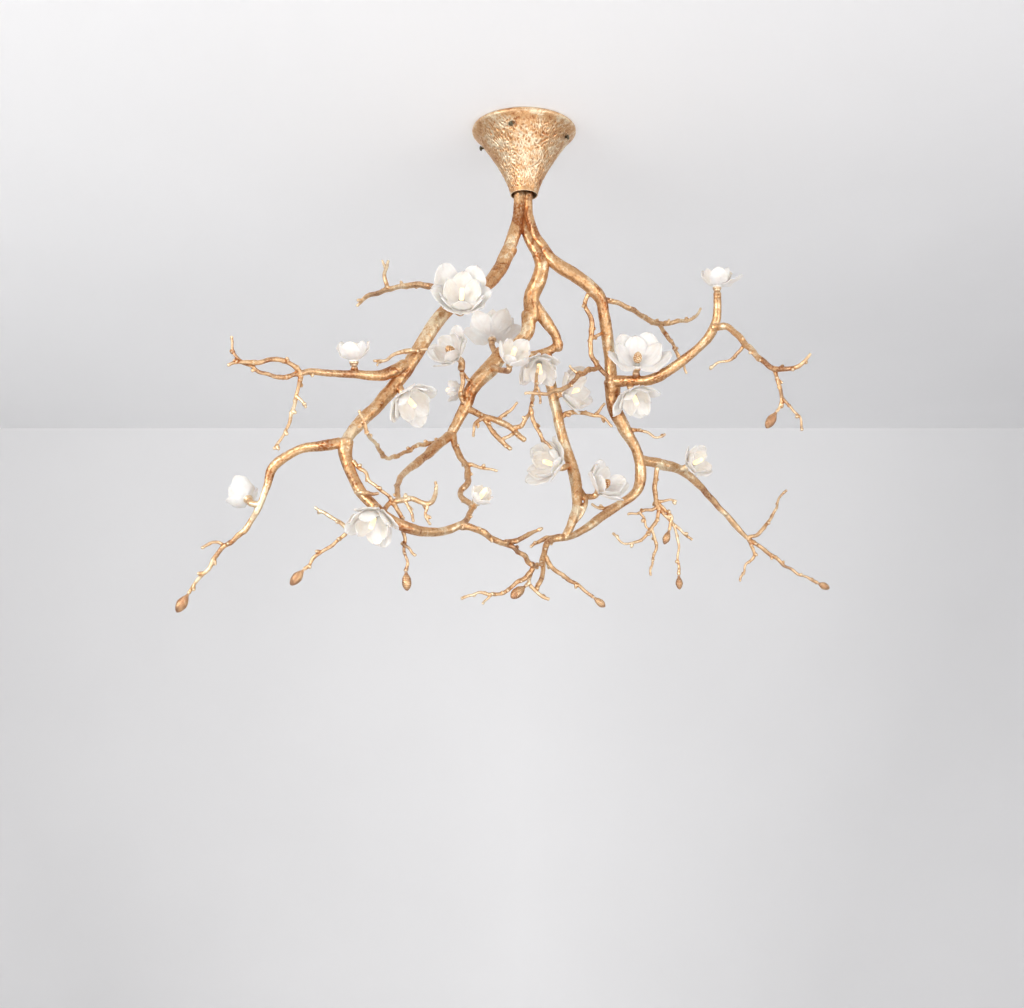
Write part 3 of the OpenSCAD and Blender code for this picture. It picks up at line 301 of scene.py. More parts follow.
# Rows of petals of each kind of flower: sphere radius, angle at the tip, width share, turns.
BUD_ROWS = [(24, 108, 0.85, (60, 180, 300)), (29, 98, 0.95, (0, 120, 240))]
PETAL_ROWS = [
    [(29, 106, 0.9, (0, 120, 240)), (37, 88, 0.92, (62, 178, 300)), (50, 70, 1, (45, 225)),
        (53, 68, 1, (135, 315))],
    BUD_ROWS,
    [(40, 84, 0.9, (180, 245, 115)), (54, 68, 1, (150, 210)), (57, 66, 1, (85, 275))],
    [(31, 104, 0.9, (0, 120, 240)), (38, 88, 0.95, (60,)), (40, 86, 0.95, (180,)),
        (38, 88, 0.95, (300,)), (50, 66, 1, (40, 320)), (56, 74, 1.1, (150, 215)),
        (53, 66, 1, (95, 268))],
    [*BUD_ROWS, (60, 52, 0.95, (85,))],
]

# Sizes of the fittings, as the CAD has them.
CANOPY_R, CANOPY_H, NECK_R, CANOPY_WALL = 102, 136, 27, 2.2
RIM_H, FLARE_POWER = 8, 1.38
SCREW_TURN, SCREW_DEPTH, SCREW_D, SCREW_TIP, SCREW_HEAD_FOOT = -107, 27, 4, 76, 88.8
STALK_D, COLLAR_D, COLLAR_H, HOLDER_D, HOLDER_H = 13, 17, 7, 11, 10
SEAT_GAP, RUNNING_GAP, PETAL_W = 0.2, 0.3, 38

# How the surfaces are worked: a route counts as a limb where it is thicker than LIMB_D, and
# thinner stretches than TWIG_D are drawn a little stouter, down to a least diameter. Pitch is
# the width of a quad and voxel the size of the skin's remesh, for limbs and for twigs, in mm.
LIMB_D, TWIG_D, TWIG_STOUTER, LEAST_D = 13, 12, 1.08, 5.0
LIMB_PITCH, TWIG_PITCH, LIMB_VOXEL, TWIG_VOXEL, QUICK_COARSER = 1.5, 1.1, 1.35, 0.95, 1.6
CANOPY_SIDES, CANOPY_RIDGES, RIM_ROUND = 460, 13, 2.4
PETAL_ROOT, PETAL_FULLER = 2.4, (1.18, 1.34)

# The room, in metres: half its width, and how far back, low and to the front it goes.
ROOM_WIDE, ROOM_BACK, ROOM_LOW, ROOM_FRONT, ROOM_TOP = 9.0, 2.39, -2.6, -7.0, 0.001
CAMERA_PLACE, CAMERA_TILT, CAMERA_LENS = (-0.0236, -2.75, -1.30), 101.3, 52.73
# Soft lights: place, aim, watts, width and colour.
LIGHTS = {
    "key": ((-2.2, -2.6, -0.25), (0.0, 0.0, -0.45), 70, 1.6, (1, 0.98, 0.95)),
    "fill": ((2.6, -2.4, -0.9), (0.1, 0.0, -0.5), 33, 2.0, (1, 0.99, 0.98)),
    "under": ((0.3, -1.6, -2.3), (0.0, 0.3, -0.4), 18, 2.4, (1, 0.99, 0.98)),
}


# ------------------------------------------------------------------ shapes
def route_curve(points, t):
    """Catmull-Rom curve: between points b and c the cubic that passes through both and
    leaves each along the line between its neighbours, at the whole array of places t."""
    p = np.asarray(points, float)
    last = len(p) - 1
    i = np.clip(np.floor(t).astype(int), 0, last - 1)
    u = (t - i)[:, None]
    a, b, c, d = p[np.maximum(i - 1, 0)], p[i], p[i + 1], p[np.minimum(i + 2, last)]
    return 0.5 * (2 * b + (c - a) * u + (2 * a - 5 * b + 4 * c - d) * u**2
        + (3 * b - a - 3 * c + d) * u**3)


def ripple(q, wave, rng, count=20):
    """Smooth unevenness of about unit size at the points q: a sum of sines along random
    directions, whose wavelengths lie round wave."""
    way = rng.normal(size=(count, 3))
    way /= np.linalg.norm(way, axis=1, keepdims=True)
    way *= 2 * math.pi / wave * rng.uniform(0.7, 1.5, (count, 1))
    return np.sin(q @ way.T + rng.uniform(0, 2 * math.pi, count)).sum(-1) * (2 / count)**0.5


def unit(v):
    """Vectors v brought to a length of one."""
    return v / np.maximum(np.linalg.norm(v, axis=-1, keepdims=True), 1e-9)


def facing(flower):
    """Way a flower faces, from its turn and its lift."""
    turn, lift = math.radians(flower[1]), math.radians(flower[2])
    return np.array([math.sin(turn) * math.cos(lift), -math.cos(turn) * math.cos(lift),
        math.sin(lift)])


def flower_frame(flower):
    """Turn of a flower's own frame, axis up, to its place: columns are its axes."""
    lift, turn, spin = (math.radians(x) for x in (90 - flower[2], flower[1] - 90, flower[5]))
    about_y = np.array([[math.cos(lift), 0, math.sin(lift)], [0, 1, 0],
        [-math.sin(lift), 0, math.cos(lift)]])

    def about_z(a):
        return np.array([[math.cos(a), -math.sin(a), 0], [math.sin(a), math.cos(a), 0],
            [0, 0, 1]])

    return about_z(turn) @ about_y @ about_z(spin)


def grid_faces(rows, columns, wrap=False, first=0):
    """Quads between the neighbouring rows and columns of a grid, as one array."""
    i, j = np.meshgrid(np.arange(rows - 1), np.arange(columns - (not wrap)), indexing="ij")
    i, j, k = i.ravel(), j.ravel(), ((j + 1) % columns).ravel()
    return first + np.stack([i * columns + j, i * columns + k, (i + 1) * columns + k,
        (i + 1) * columns + j], 1)


def capped(rings):
    """A closed tube from an array of rings (ring, side, xyz): quads between the rings and
    a fan of triangles from the middle of the first and the last ring."""
    count, sides, _ = rings.shape
    points = np.concatenate([rings.reshape(-1, 3), rings[[0, -1]].mean(1)])
    k = np.arange(sides)
    k2 = (k + 1) % sides
    end = (count - 1) * sides
    foot, tip = np.full(sides, count * sides), np.full(sides, count * sides + 1)
    quads = grid_faces(count, sides, True)
    fans = np.concatenate([np.stack([foot, k2, k], 1), np.stack([tip, end + k, end + k2], 1)])
    return points, [quads, fans]


def branch(route, rng, scale, bark, pitch, flare=0.3, knots=1.0, runs_on=False):
    """A cast branch: rings of radius r(s) along the route's curve, which wanders by about a
    mm to either side, where s is the way along it. r is the drawn radius times 1 + swellings,
    plus a pitted bark, plus round knots exp(-((s - s_k) / w)^2 + k (cos(a - a_k) - 1)),
    higher and closer on a twig and one at its tip, plus a flare exp(-s / r) at the root. It
    closes in a quarter ellipse at both ends, which first run on by half a diameter into the
    next branches if runs_on."""
    p = np.asarray(route, float)
    stouter = np.where(p[:, 3] < TWIG_D, TWIG_STOUTER, 1.0)
    p[:, 3] = np.maximum(p[:, 3] * scale * stouter, LEAST_D)
    root_d, tip_d = p[0, 3], p[-1, 3]
    if runs_on:
        back, on = (unit(p[i, :3] - p[k, :3]) for i, k in ((0, 1), (-1, -2)))
        p = np.insert(p, 0, [*(p[0, :3] + 0.5 * root_d * back), root_d], 0)
        p = np.append(p, [[*(p[-1, :3] + 0.5 * tip_d * on), tip_d]], 0)
    t = np.linspace(0, len(p) - 1, (len(p) - 1) * 40 + 1)
    fine = route_curve(p, t)
    run = np.concatenate([[0], np.cumsum(np.linalg.norm(np.diff(fine[:, :3], axis=0), axis=1))])
    length = run[-1]
    ends = 0.45 * np.array([root_d, tip_d])
    corner = 1 - np.cos(np.linspace(0, math.pi / 2, 6))[:-1]
    s = np.concatenate([ends[0] * corner,
        np.linspace(ends[0], length - ends[1], max(6, int(length / pitch))),
        (length - ends[1] * corner)[::-1]])
    c = route_curve(p, np.interp(s, run, t))
    centre, r = c[:, :3], c[:, 3:] / 2
    way = unit(np.gradient(centre, s, axis=0))
    sights = np.array([[0, 1, 0], [0.3, 0.1, 1], [1, 0.2, 0.1], [0.7, 0.7, 0], [-0.7, 0.7, 0.2]])
    sight = sights[np.argmin(np.abs(way @ unit(sights).T).max(0))]
    across = unit(np.cross(way, sight))
    other = np.cross(way, across)
    slim = np.clip((14 - 2 * r.mean()) / 7, 0, 1)
    held = np.clip(np.minimum(s, length - s) / 12, 0, 1)[:, None]
    centre = centre + held * (0.35 + 0.85 * slim) * (
        across * ripple(s[:, None] * [1, 0, 0], 26 + 2 * r.max(), rng, 9)[:, None]
        + other * ripple(s[:, None] * [0, 1, 0], 26 + 2 * r.max(), rng, 9)[:, None])
    sides = max(10, int(math.pi * 2 * r.max() / pitch))
    a = np.linspace(0, 2 * math.pi, sides, endpoint=False)[None]
    q = np.stack([s[:, None] + 0 * a, r * np.cos(a), r * np.sin(a)], -1)
    girth = r.max()
    swell = 0.06 * r * ripple(q * [0.5, 0.6, 0.6], 3.4 * girth + 10, rng)
    ridges = ripple(q * [0.45, 1, 1] + [7, 3, 1], 0.6 * girth + 2.5, rng, 28)
    grain = ripple(q * [0.8, 1, 1], 0.35 * girth + 1.6, rng, 28)
    depth = bark * np.clip(r / 9, 0.45, 1.1)
    relief = depth * (0.35 - 0.6 * np.minimum(np.abs(ridges), 1.3) + 0.25 * grain)
    many = int(knots * length / (52 - 29 * slim))
    where, side = rng.uniform(0.06, 0.97, many) * length, rng.uniform(0, 2 * math.pi, many)
    high = rng.uniform(0.06, 0.16, many) + slim * rng.uniform(0.1, 0.42, many)
    wide = rng.uniform(0.9, 1.5, many) * (1 - 0.45 * slim)
    if tip_d <= 9:
        where[-1:], high[-1:], wide[-1:] = length - 0.5 * tip_d, 0.35, 0.9
    here = np.interp(where, s, r[:, 0])
    lumps = np.exp(-((s[:, None, None] - where) / (wide * here))**2
        + (2.2 - 1.3 * slim) * (np.cos(a[..., None] - side) - 1)) @ (high * here) \
        if many else 0
    root = flare * r * np.exp(-s[:, None] / (1.1 * root_d))
    close = np.ones_like(s)
    near, far = s < ends[0], s > length - ends[1]
    close[near] = np.sqrt(np.clip(1 - (1 - s[near] / ends[0])**2, 0, 1))
    close[far] = np.sqrt(np.clip(1 - (1 - (length - s[far]) / ends[1])**2, 0, 1))
    radius = np.maximum(r + swell + relief + lumps + root, 0.5 * r) * close[:, None]
    out = np.cos(a)[..., None] * across[:, None] + np.sin(a)[..., None] * other[:, None]
    return centre[:, None] + radius[..., None] * out


def spurs(route, rng):
    """Routes of the short blunt spurs of a twig: one every 25 to 55 mm where it is slim,
    leaning forward from its axis and pushed out to a few mm past its skin."""
    p = np.asarray(route, float)
    t = np.linspace(0, len(p) - 1, (len(p) - 1) * 20 + 1)
    c = route_curve(p, t)
    run = np.concatenate([[0], np.cumsum(np.linalg.norm(np.diff(c[:, :3], axis=0), axis=1))])
    places, s = [], rng.uniform(14, 34)
    while s < run[-1] - 9:
        i = int(np.searchsorted(run, s))
        way = unit(c[min(i + 1, len(c) - 1), :3] - c[i - 1, :3])
        side = unit(np.cross(way, rng.normal(size=3)))
        lean = unit(side + rng.uniform(0.35, 0.9) * way)
        if c[i, 3] < LIMB_D:
            long = c[i, 3] / 2 + rng.uniform(3.0, 8.0)
            places.append([(*c[i, :3], 5.6), (*(c[i, :3] + 0.6 * long * lean), 5.2),
                (*(c[i, :3] + long * (lean + 0.12 * way)), 4.6)])
        s += rng.uniform(25, 55)
    return places


def stalk_route(flower):
    """Route of a flower's stalk: from its root on the branch, bending to meet the seat
    square, and thickening to the collar's foot."""
    seat, root, way = np.array(flower[0], float), np.array(flower[6], float), facing(flower)
    foot = seat - 9 * way
    middle = (root + foot) / 2
    return [(*root, STALK_D - 1), (*middle, STALK_D - 2), (*foot, STALK_D - 1),
        (*(seat + 1.5 * way), STALK_D + 0.5)]


def revolved(profile, sides, relief=None):
    """Rings about the Z axis from a profile of (radius, height) points; relief(a, r, z)
    adds to the radius r of the ring at the height z, at the angle a."""
    r, z = np.asarray(profile, float).T
    a = np.linspace(0, 2 * math.pi, sides, endpoint=False)[None]
    radius = r[:, None] + (relief(a, r[:, None], z[:, None]) if relief else 0)
    return np.stack([radius * np.cos(a), radius * np.sin(a), z[:, None] + 0 * a], -1)


def petal(r, tip, width, foot_z, thick, rng, point, rows=30, columns=22):
    """A petal: the patch of a sphere of radius r between the angle where it leaves the
    collar (u = 0) and the angle tip (u = 1). Half its width is the smaller of a lens and a
    round tip, h(u), drawn in to a point by the share 1 - point u^4. A point is centre
    + (r + lift) (cos b (sin a, 0, -cos a) + sin b y) with b = v h(u) / r; lift curls the tip
    and the sides outwards, sinks the midrib, pleats the blade and waves the rim. The
    thickness closes to nothing all round as sqrt((1 - v^8)(1 - u^20)(1 - (1 - u)^20))."""
    foot_r = COLLAR_D / 2 - 2
    a0, a1 = math.asin(foot_r / r), math.radians(tip)
    half = r * math.sin((a1 - a0) / 2)
    u = (0.5 - 0.5 * np.cos(np.linspace(0, math.pi, rows)))[:, None]
    v = np.sin(np.linspace(-math.pi / 2, math.pi / 2, columns))[None]
    x = half * (1 - 2 * u)
    long = 1.35 * half
    bow = (long**2 + width**2 / 4) / width
    lens = np.sqrt(np.clip(bow**2 - (x + 0.2 * half)**2, 0, None)) - bow + width / 2
    round_tip = np.sqrt(np.clip((1.06 * half)**2 - (x - 0.06 * half)**2, 1e-9, None))
    h = (np.clip(lens, 0.5, None)**-6 + round_tip**-6)**(-1 / 6) * (1 - point * u**4)
    skew, sway = rng.uniform(-0.12, 0.12), rng.uniform(0, 2 * math.pi, 3)
    h = h * (1 + 0.05 * np.sin(5.5 * u * math.pi + sway[0]) * u * np.sign(v + 1e-9))
    a = a0 + (a1 - a0) * u
    b = v * h / r + skew * u**2 * 0.6
    rim = np.maximum(np.abs(v)**3 * np.sin(math.pi * u)**0.5, u**6)
    curl = rng.uniform(0.03, 0.1)
    lift = (curl * r * np.clip(u - 0.55, 0, None)**2 * 4
        + 0.05 * r * np.abs(v)**3 * np.sin(math.pi * np.clip(u, 0, 1))
        - 0.55 * np.exp(-(v / 0.11)**2) * np.sin(math.pi * u)**0.6
        + 0.6 * np.cos(5.5 * math.pi * v + sway[0]) * np.sin(math.pi * u) * (1 - v**2)
        + rim * (1.3 * np.sin(4.2 * math.pi * u + sway[1] + 2 * v)
            + 1.0 * np.sin(3.1 * math.pi * v + sway[2])))
    out = np.stack([np.cos(b) * np.sin(a), np.sin(b) + 0 * a, -np.cos(b) * np.cos(a)], -1)
    centre = np.array([0, 0, foot_z + r * math.cos(a0)])
    t = 0.5 * thick * np.sqrt(np.clip((1 - v**8) * (1 - u**20) * (1 - (1 - u)**20), 0, 1))
    sheets = [centre + (r - thick / 2 + lift + side * t)[..., None] * out for side in (1, -1)]
    count = rows * columns
    faces = [grid_faces(rows, columns), grid_faces(rows, columns, first=count)[:, ::-1]]
    return np.concatenate([s.reshape(-1, 3) for s in sheets]), faces


def turned_z(points, degrees):
    """Points turned about the Z axis."""
    a = math.radians(degrees)
    turn = np.array([[math.cos(a), -math.sin(a), 0], [math.sin(a), math.cos(a), 0], [0, 0, 1]])
    return points @ turn.T


def along(points, foot, way):
    """Points of a shape that stands on the origin, set on foot with its axis along way."""
    way = unit(np.asarray(way, float))
    side = unit(np.cross([0, 1, 0] if abs(way[1]) < 0.9 else [1, 0, 0], way))
    return points @ np.stack([side, np.cross(way, side), way]) + foot


# ------------------------------------------------------------------ meshes
def solid(name, parts, merge=0.0):
    """One mesh object from (points in mm, lists of faces) parts, shaded smooth. merge joins
    the corners closer than that many mm, which closes seams and poles."""
    points = np.concatenate([p for p, _ in parts]) * MM
    faces, first = [], 0
    for p, lists in parts:
        for f in lists:
            faces += (f + first).tolist()
        first += len(p)
    mesh = bpy.data.meshes.new(name)
    mesh.from_pydata(points, [], faces)
    if merge:
        work = bmesh.new()
        work.from_mesh(mesh)
        bmesh.ops.remove_doubles(work, verts=work.verts, dist=merge * MM)
        bmesh.ops.dissolve_degenerate(work, edges=work.edges, dist=1e-7)
        bmesh.ops.recalc_face_normals(work, faces=work.faces)
        work.to_mesh(mesh)
        work.free()
    mesh.validate()
    mesh.polygons.foreach_set("use_smooth", np.ones(len(mesh.polygons), bool))
    obj = bpy.data.objects.new(name, mesh)
    bpy.context.scene.collection.objects.link(obj)
    return obj


def fuse(obj, voxel):
    """Makes the overlapping closed surfaces of obj one skin with a voxel remesh of that
    size in mm, and eases the steps that it leaves."""
    skin = obj.modifiers.new("Skin", "REMESH")
    skin.mode = "VOXEL"
    skin.voxel_size = voxel * MM
    skin.use_smooth_shade = True
    ease = obj.modifiers.new("Ease", "SMOOTH")
    ease.factor, ease.iterations = 0.5, 2
    graph = bpy.context.evaluated_depsgraph_get()
    done = bpy.data.meshes.new_from_object(obj.evaluated_get(graph))
    obj.modifiers.clear()
    old, obj.data = obj.data, done
    bpy.data.meshes.remove(old)
    done.name = obj.name
    return obj


def dress(obj, material, body, slot, *nodes):
    """Gives a new piece its material, the body it rides on and what it replaces; slot is not used.
    """
    obj.data.materials.clear()
    obj.data.materials.append(material)
    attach(obj, body)
    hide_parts(*nodes)


def repaint(node, material):
    """Puts a material on a CAD node that keeps its own shape."""
    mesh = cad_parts[node].data
    if not mesh.materials:
        mesh.materials.append(material)
    for i in range(len(mesh.materials)):
        mesh.materials[i] = material


# --------------------------------------------------------------- materials
def linear(colour):
    """Linear red, green, blue of a colour as a picker shows it, with full alpha."""
    return (*((c / 12.92 if c <= 0.04045 else ((c + 0.055) / 1.055)**2.4)
        for c in colour[:3]), 1.0)


class Finish:
    """A node material that is put together from the surface's own coordinates."""

    def __init__(self, name, **sockets):
        self.material = bpy.data.materials.new(name)
        self.material.use_nodes = True
        self.tree = self.material.node_tree
        self.shader = self.tree.nodes["Principled BSDF"]
        self.place = self.add("ShaderNodeTexCoord").outputs["Object"]
        for socket, value in sockets.items():
            self.shader.inputs[socket.replace("_", " ")].default_value = value

    def add(self, kind, **values):
        """A new node of the kind, with these settings."""
        node = self.tree.nodes.new(kind)
        for key, value in values.items():
            setattr(node, key, value)
        return node

    def link(self, out, into):
        """Joins an output to an input."""
        self.tree.links.new(out, into)

    def feed(self, *pairs):
        """Gives each input its value, which is an output to join to it or a plain setting."""
        for socket, value in pairs:
            if isinstance(value, bpy.types.NodeSocket):
                self.link(value, socket)
            else:
                socket.default_value = value

    def noise(self, scale, detail, rough, distort=0.0):
        """Cloudy noise, whose cells are about 1 / scale metres across."""
        noise = self.add("ShaderNodeTexNoise")
        for socket, value in (("Scale", scale), ("Detail", detail), ("Roughness", rough),
                ("Distortion", distort)):
            noise.inputs[socket].default_value = value
        self.link(self.place, noise.inputs["Vector"])
        return noise.outputs["Fac"]

    def ramp(self, value, *stops):
        """Colour ramp over a value: stops are (position, linear colour)."""
        ramp = self.add("ShaderNodeValToRGB")
        band = ramp.color_ramp.elements
        band[0].position, band[0].color = stops[0]
        band[1].position, band[1].color = stops[-1]
        for position, colour in stops[1:-1]:
            band.new(position).color = colour
        self.link(value, ramp.inputs["Fac"])
        return ramp.outputs["Color"]

    def level(self, value, low, high, to_low, to_high):
        """The value's span from low to high, laid on the span from to_low to to_high."""
        span = self.add("ShaderNodeMapRange")
        for i, bound in enumerate((low, high, to_low, to_high)):
            span.inputs[i + 1].default_value = bound
        self.link(value, span.inputs["Value"])
        return span.outputs["Result"]

    def mix(self, factor, a, b):
        """Colour a with b laid over it by the factor, each a socket or a colour."""
        mix = self.add("ShaderNodeMix", data_type="RGBA")
        self.feed((mix.inputs["Factor"], factor), (mix.inputs[6], a), (mix.inputs[7], b))
        return mix.outputs[2]

    def math(self, operation, a, b=0.0):
        """One sum on two values, each a socket or a number."""
        node = self.add("ShaderNodeMath", operation=operation)
        self.feed(*zip(node.inputs, (a, b)))
        return node.outputs[0]

    def bulging(self):
        """How far the surface bulges: 0.5 on the flat, more on ridges, less in hollows."""
        return self.add("ShaderNodeNewGeometry").outputs["Pointiness"]

    def relief(self, *layers):
        """Bump from (height, strength, distance in metres) layers, one over another."""
        normal = None
        for height, strength, distance in layers:
            bump = self.add("ShaderNodeBump")
            bump.inputs["Strength"].default_value = strength
            bump.inputs["Distance"].default_value = distance
            self.link(height, bump.inputs["Height"])
            if normal:
                self.link(normal, bump.inputs["Normal"])
            normal = bump.outputs["Normal"]
        self.link(normal, self.shader.inputs["Normal"])

    def into(self, socket, value):
        """Joins an output to the shader's named input."""
        self.link(value, self.shader.inputs[socket])


def gilt_finish(name, colours, coarse, paler=0.0, metal=1.0, veins=0.35):
    """Leaf gilding on cast metal: patches from deep copper through gold to pale gold, paler on
    the ridges for wear and a painted highlight, darker in the hollows for patina and a painted
    shade, and darker along fine veins, with a satin skin."""
    deep, gold, pale = (linear(c) for c in (colours.gilt_deep, colours.gilt, colours.gilt_pale))
    f = Finish(name, Metallic=metal)
    areas = f.noise(coarse * 0.22, 3, 0.55, 0.4)
    patches = f.noise(coarse, 5, 0.62, 0.6)
    flecks = f.noise(coarse * 5.5, 4, 0.7)
    tone = f.ramp(f.mix(0.18, f.mix(0.55, patches, areas), flecks), (0.425 - paler, deep),
        (0.485 - paler, gold), (0.525 - paler, gold), (0.585 - paler, pale))
    # Painted shade and highlight: hollows go towards deep gold, partly patina and partly painted
    # shade; ridges go towards pale gold, partly wear and partly painted highlight.
    hollow_patina_and_shade = f.level(f.bulging(), 0.47, 0.5, 1, 0)
    ridge = f.level(f.bulging(), 0.505, 0.54, 0, 0.75)
    tone = f.mix(f.level(hollow_patina_and_shade, 0, 1, 0, 0.65), tone, deep)
    tone = f.mix(ridge, tone, pale)
    vein = f.math("ABSOLUTE", f.math("SUBTRACT", f.noise(coarse * 1.5, 4, 0.6, 1.0), 0.5))
    f.into("Base Color", f.mix(f.level(vein, 0, 0.02, veins, 0), tone, deep))
    f.into("Roughness", f.level(f.noise(coarse * 3, 3, 0.6), 0.3, 0.7, 0.3, 0.5))
    f.relief((f.noise(coarse * 2, 4, 0.6), 0.35, 0.0012),
        (f.noise(coarse * 9, 4, 0.6), 0.18, 0.0004))
    return f.material


def porcelain_finish(name, colours):
    """Bisque porcelain: warm white, a little light carried through it, a faint painted glow of
    its own, faint clouding, painted shade in its folds and a soft sheen, with a very fine grain."""
    white, warm = linear(colours.porcelain), linear(colours.porcelain_cloud_and_fold_shade)
    # Emission_Strength gives the petals a faint painted glow of their own, standing in for lamp
    # light carried through them.
    f = Finish(name, Roughness=0.42, Subsurface_Weight=0.35, Subsurface_Scale=0.006,
        Coat_Weight=0.12, Coat_Roughness=0.3, Emission_Strength=0.06)
    f.shader.inputs["Subsurface Radius"].default_value = (1.0, 0.75, 0.5)
    cloud = f.noise(38, 4, 0.6, 0.3)
    tone = f.ramp(cloud, (0.38, warm), (0.56, white))
    # Painted shade: the petals' folds and hollows are mixed up to halfway towards the shade
    # colour.
    f.into("Base Color", f.mix(f.level(f.bulging(), 0.47, 0.5, 0.5, 0), tone, warm))
    # Warm colour of the petals' painted glow.
    f.shader.inputs["Emission Color"].default_value = (1.0, 0.95, 0.88, 1)
    f.into("Roughness", f.level(f.noise(120, 3, 0.5), 0.3, 0.7, 0.34, 0.5))
    f.relief((f.noise(90, 3, 0.5), 0.18, 0.0006), (f.noise(900, 2, 0.5), 0.12, 0.0001))
    return f.material


def lamp_finish(name, colours):
    """Lit capsule lamp: clear glass over a warm glow that is strongest in bands."""
    f = Finish(name, Roughness=0.12, Emission_Strength=colours.lamp_strength)
    f.shader.inputs["Base Color"].default_value = (0.95, 0.88, 0.72, 1)
    glow = linear(colours.lamp_glow)
    f.into("Emission Color", f.mix(f.level(f.noise(260, 2, 0.4), 0.35, 0.65, 0.1, 0.6), glow,
        (1.0, 0.62, 0.25, 1)))
    f.into("Roughness", f.level(f.noise(300, 2, 0.5), 0.3, 0.7, 0.08, 0.18))
    return f.material


def plain_finish(name, colour, metal, rough, spread, grain, depth, shade):
    """Machined or moulded stock: one colour with faint clouding, a fine grain of the given
    scale and a roughness that wanders by spread."""
    f = Finish(name, Metallic=metal)
    base = linear(colour)
    dark = (*(c * shade for c in base[:3]), 1)
    f.into("Base Color", f.ramp(f.noise(70, 4, 0.6), (0.35, dark), (0.6, base)))
    f.into("Roughness", f.level(f.noise(160, 3, 0.6), 0.3, 0.7, rough - spread, rough + spread))
    f.relief((f.noise(grain, 3, 0.55), 0.3, depth))
    return f.material


def plaster_finish(name, colour, glow, slope):
    """Painted plaster of the room: matt, with a faint roller grain. A little plain light
    that only the camera and the reflections see makes it pale: glow + slope x (0.87 - 0.3 y)
    - |x| (0.045 - 0.035 z). Seen from behind, it is clear, so that it never hides the
    object from a camera outside the room."""
    f = Finish(name, Roughness=0.9)
    base = linear(colour)
    soft = (*(c * 0.97 for c in base[:3]), 1)
    f.into("Base Color", f.ramp(f.noise(1.3, 3, 0.5), (0.35, soft), (0.65, base)))
    f.relief((f.noise(220, 2, 0.5), 0.05, 0.0005))
    rays = f.add("ShaderNodeLightPath")
    seen = f.math("MAXIMUM", rays.outputs["Is Camera Ray"],
        f.math("MAXIMUM", rays.outputs["Is Glossy Ray"], rays.outputs["Is Transmission Ray"]))
    apart = f.add("ShaderNodeSeparateXYZ")
    f.link(f.place, apart.inputs[0])
    x, y, z = apart.outputs
    tilt = f.math("MULTIPLY", f.math("MULTIPLY", x, slope),
        f.math("SUBTRACT", 0.87, f.math("MULTIPLY", y, 0.3)))
    sides = f.math("MULTIPLY", f.math("ABSOLUTE", x),
        f.math("SUBTRACT", 0.045, f.math("MULTIPLY", z, 0.035)))
    lit = f.math("ADD", tilt, f.math("SUBTRACT", glow, sides))
    f.into("Emission Strength", f.math("MULTIPLY", seen, f.math("MAXIMUM", lit, 0.0)))
    f.shader.inputs["Emission Color"].default_value = (1, 1, 1, 1)
    out = f.tree.nodes["Material Output"].inputs["Surface"]
    choose, clear = f.add("ShaderNodeMixShader"), f.add("ShaderNodeBsdfTransparent")
    f.link(f.add("ShaderNodeNewGeometry").outputs["Backfacing"], choose.inputs[0])
    f.link(f.shader.outputs[0], choose.inputs[1])
    f.link(clear.outputs[0], choose.inputs[2])
    f.link(choose.outputs[0], out)
    return f.material


# Plain stock: colour, metal, roughness, its spread, grain scale, bump in metres and the
# share of the colour that its clouds keep.
STOCK = {
    "screw_finish": ((0.42, 0.4, 0.33), 1, 0.42, 0.1, 900, 2e-4, 0.8),
    "brass_finish": ((0.72, 0.6, 0.4), 1, 0.34, 0.08, 700, 2e-4, 0.8),
    "zinc_finish": ((0.68, 0.69, 0.7), 1, 0.42, 0.08, 300, 3e-4, 0.8),
    "plastic_finish": ((0.9, 0.89, 0.86), 0, 0.45, 0.07, 1400, 1e-4, 0.95),
    "lead_finish": ((0.93, 0.92, 0.88), 0, 0.5, 0.07, 1100, 1e-4, 0.95),
    "ceramic_finish": ((0.7, 0.69, 0.66), 0, 0.6, 0.1, 800, 2e-4, 0.8),
}


def finish(name):
    """The named material, made from the panel's colours the first time that it is asked."""
    if name in bpy.data.materials:
        return bpy.data.materials[name]
    if name in STOCK:
        return plain_finish(name, *STOCK[name])
    c = bpy.context.scene.chandelier_colours
    makers = {
        "gilt_branch_finish": lambda n: gilt_finish(n, c, 62),
        "gilt_canopy_finish": lambda n: gilt_finish(n, c, 90, 0.045, 0.8, 0.75),
        "gilt_bud_finish": lambda n: gilt_finish(n, c, 150, -0.035),
        "porcelain_finish": lambda n: porcelain_finish(n, c),
        "lamp_glass_finish": lambda n: lamp_finish(n, c),
        "ceiling_finish": lambda n: plaster_finish(n, c.ceiling, 0.18, -0.09),
        "wall_finish": lambda n: plaster_finish(n, c.wall, 0.13, -0.1),
        "floor_finish": lambda n: plaster_finish(n, c.wall, 0.14, 0.0),
    }
    return makers[name](name)


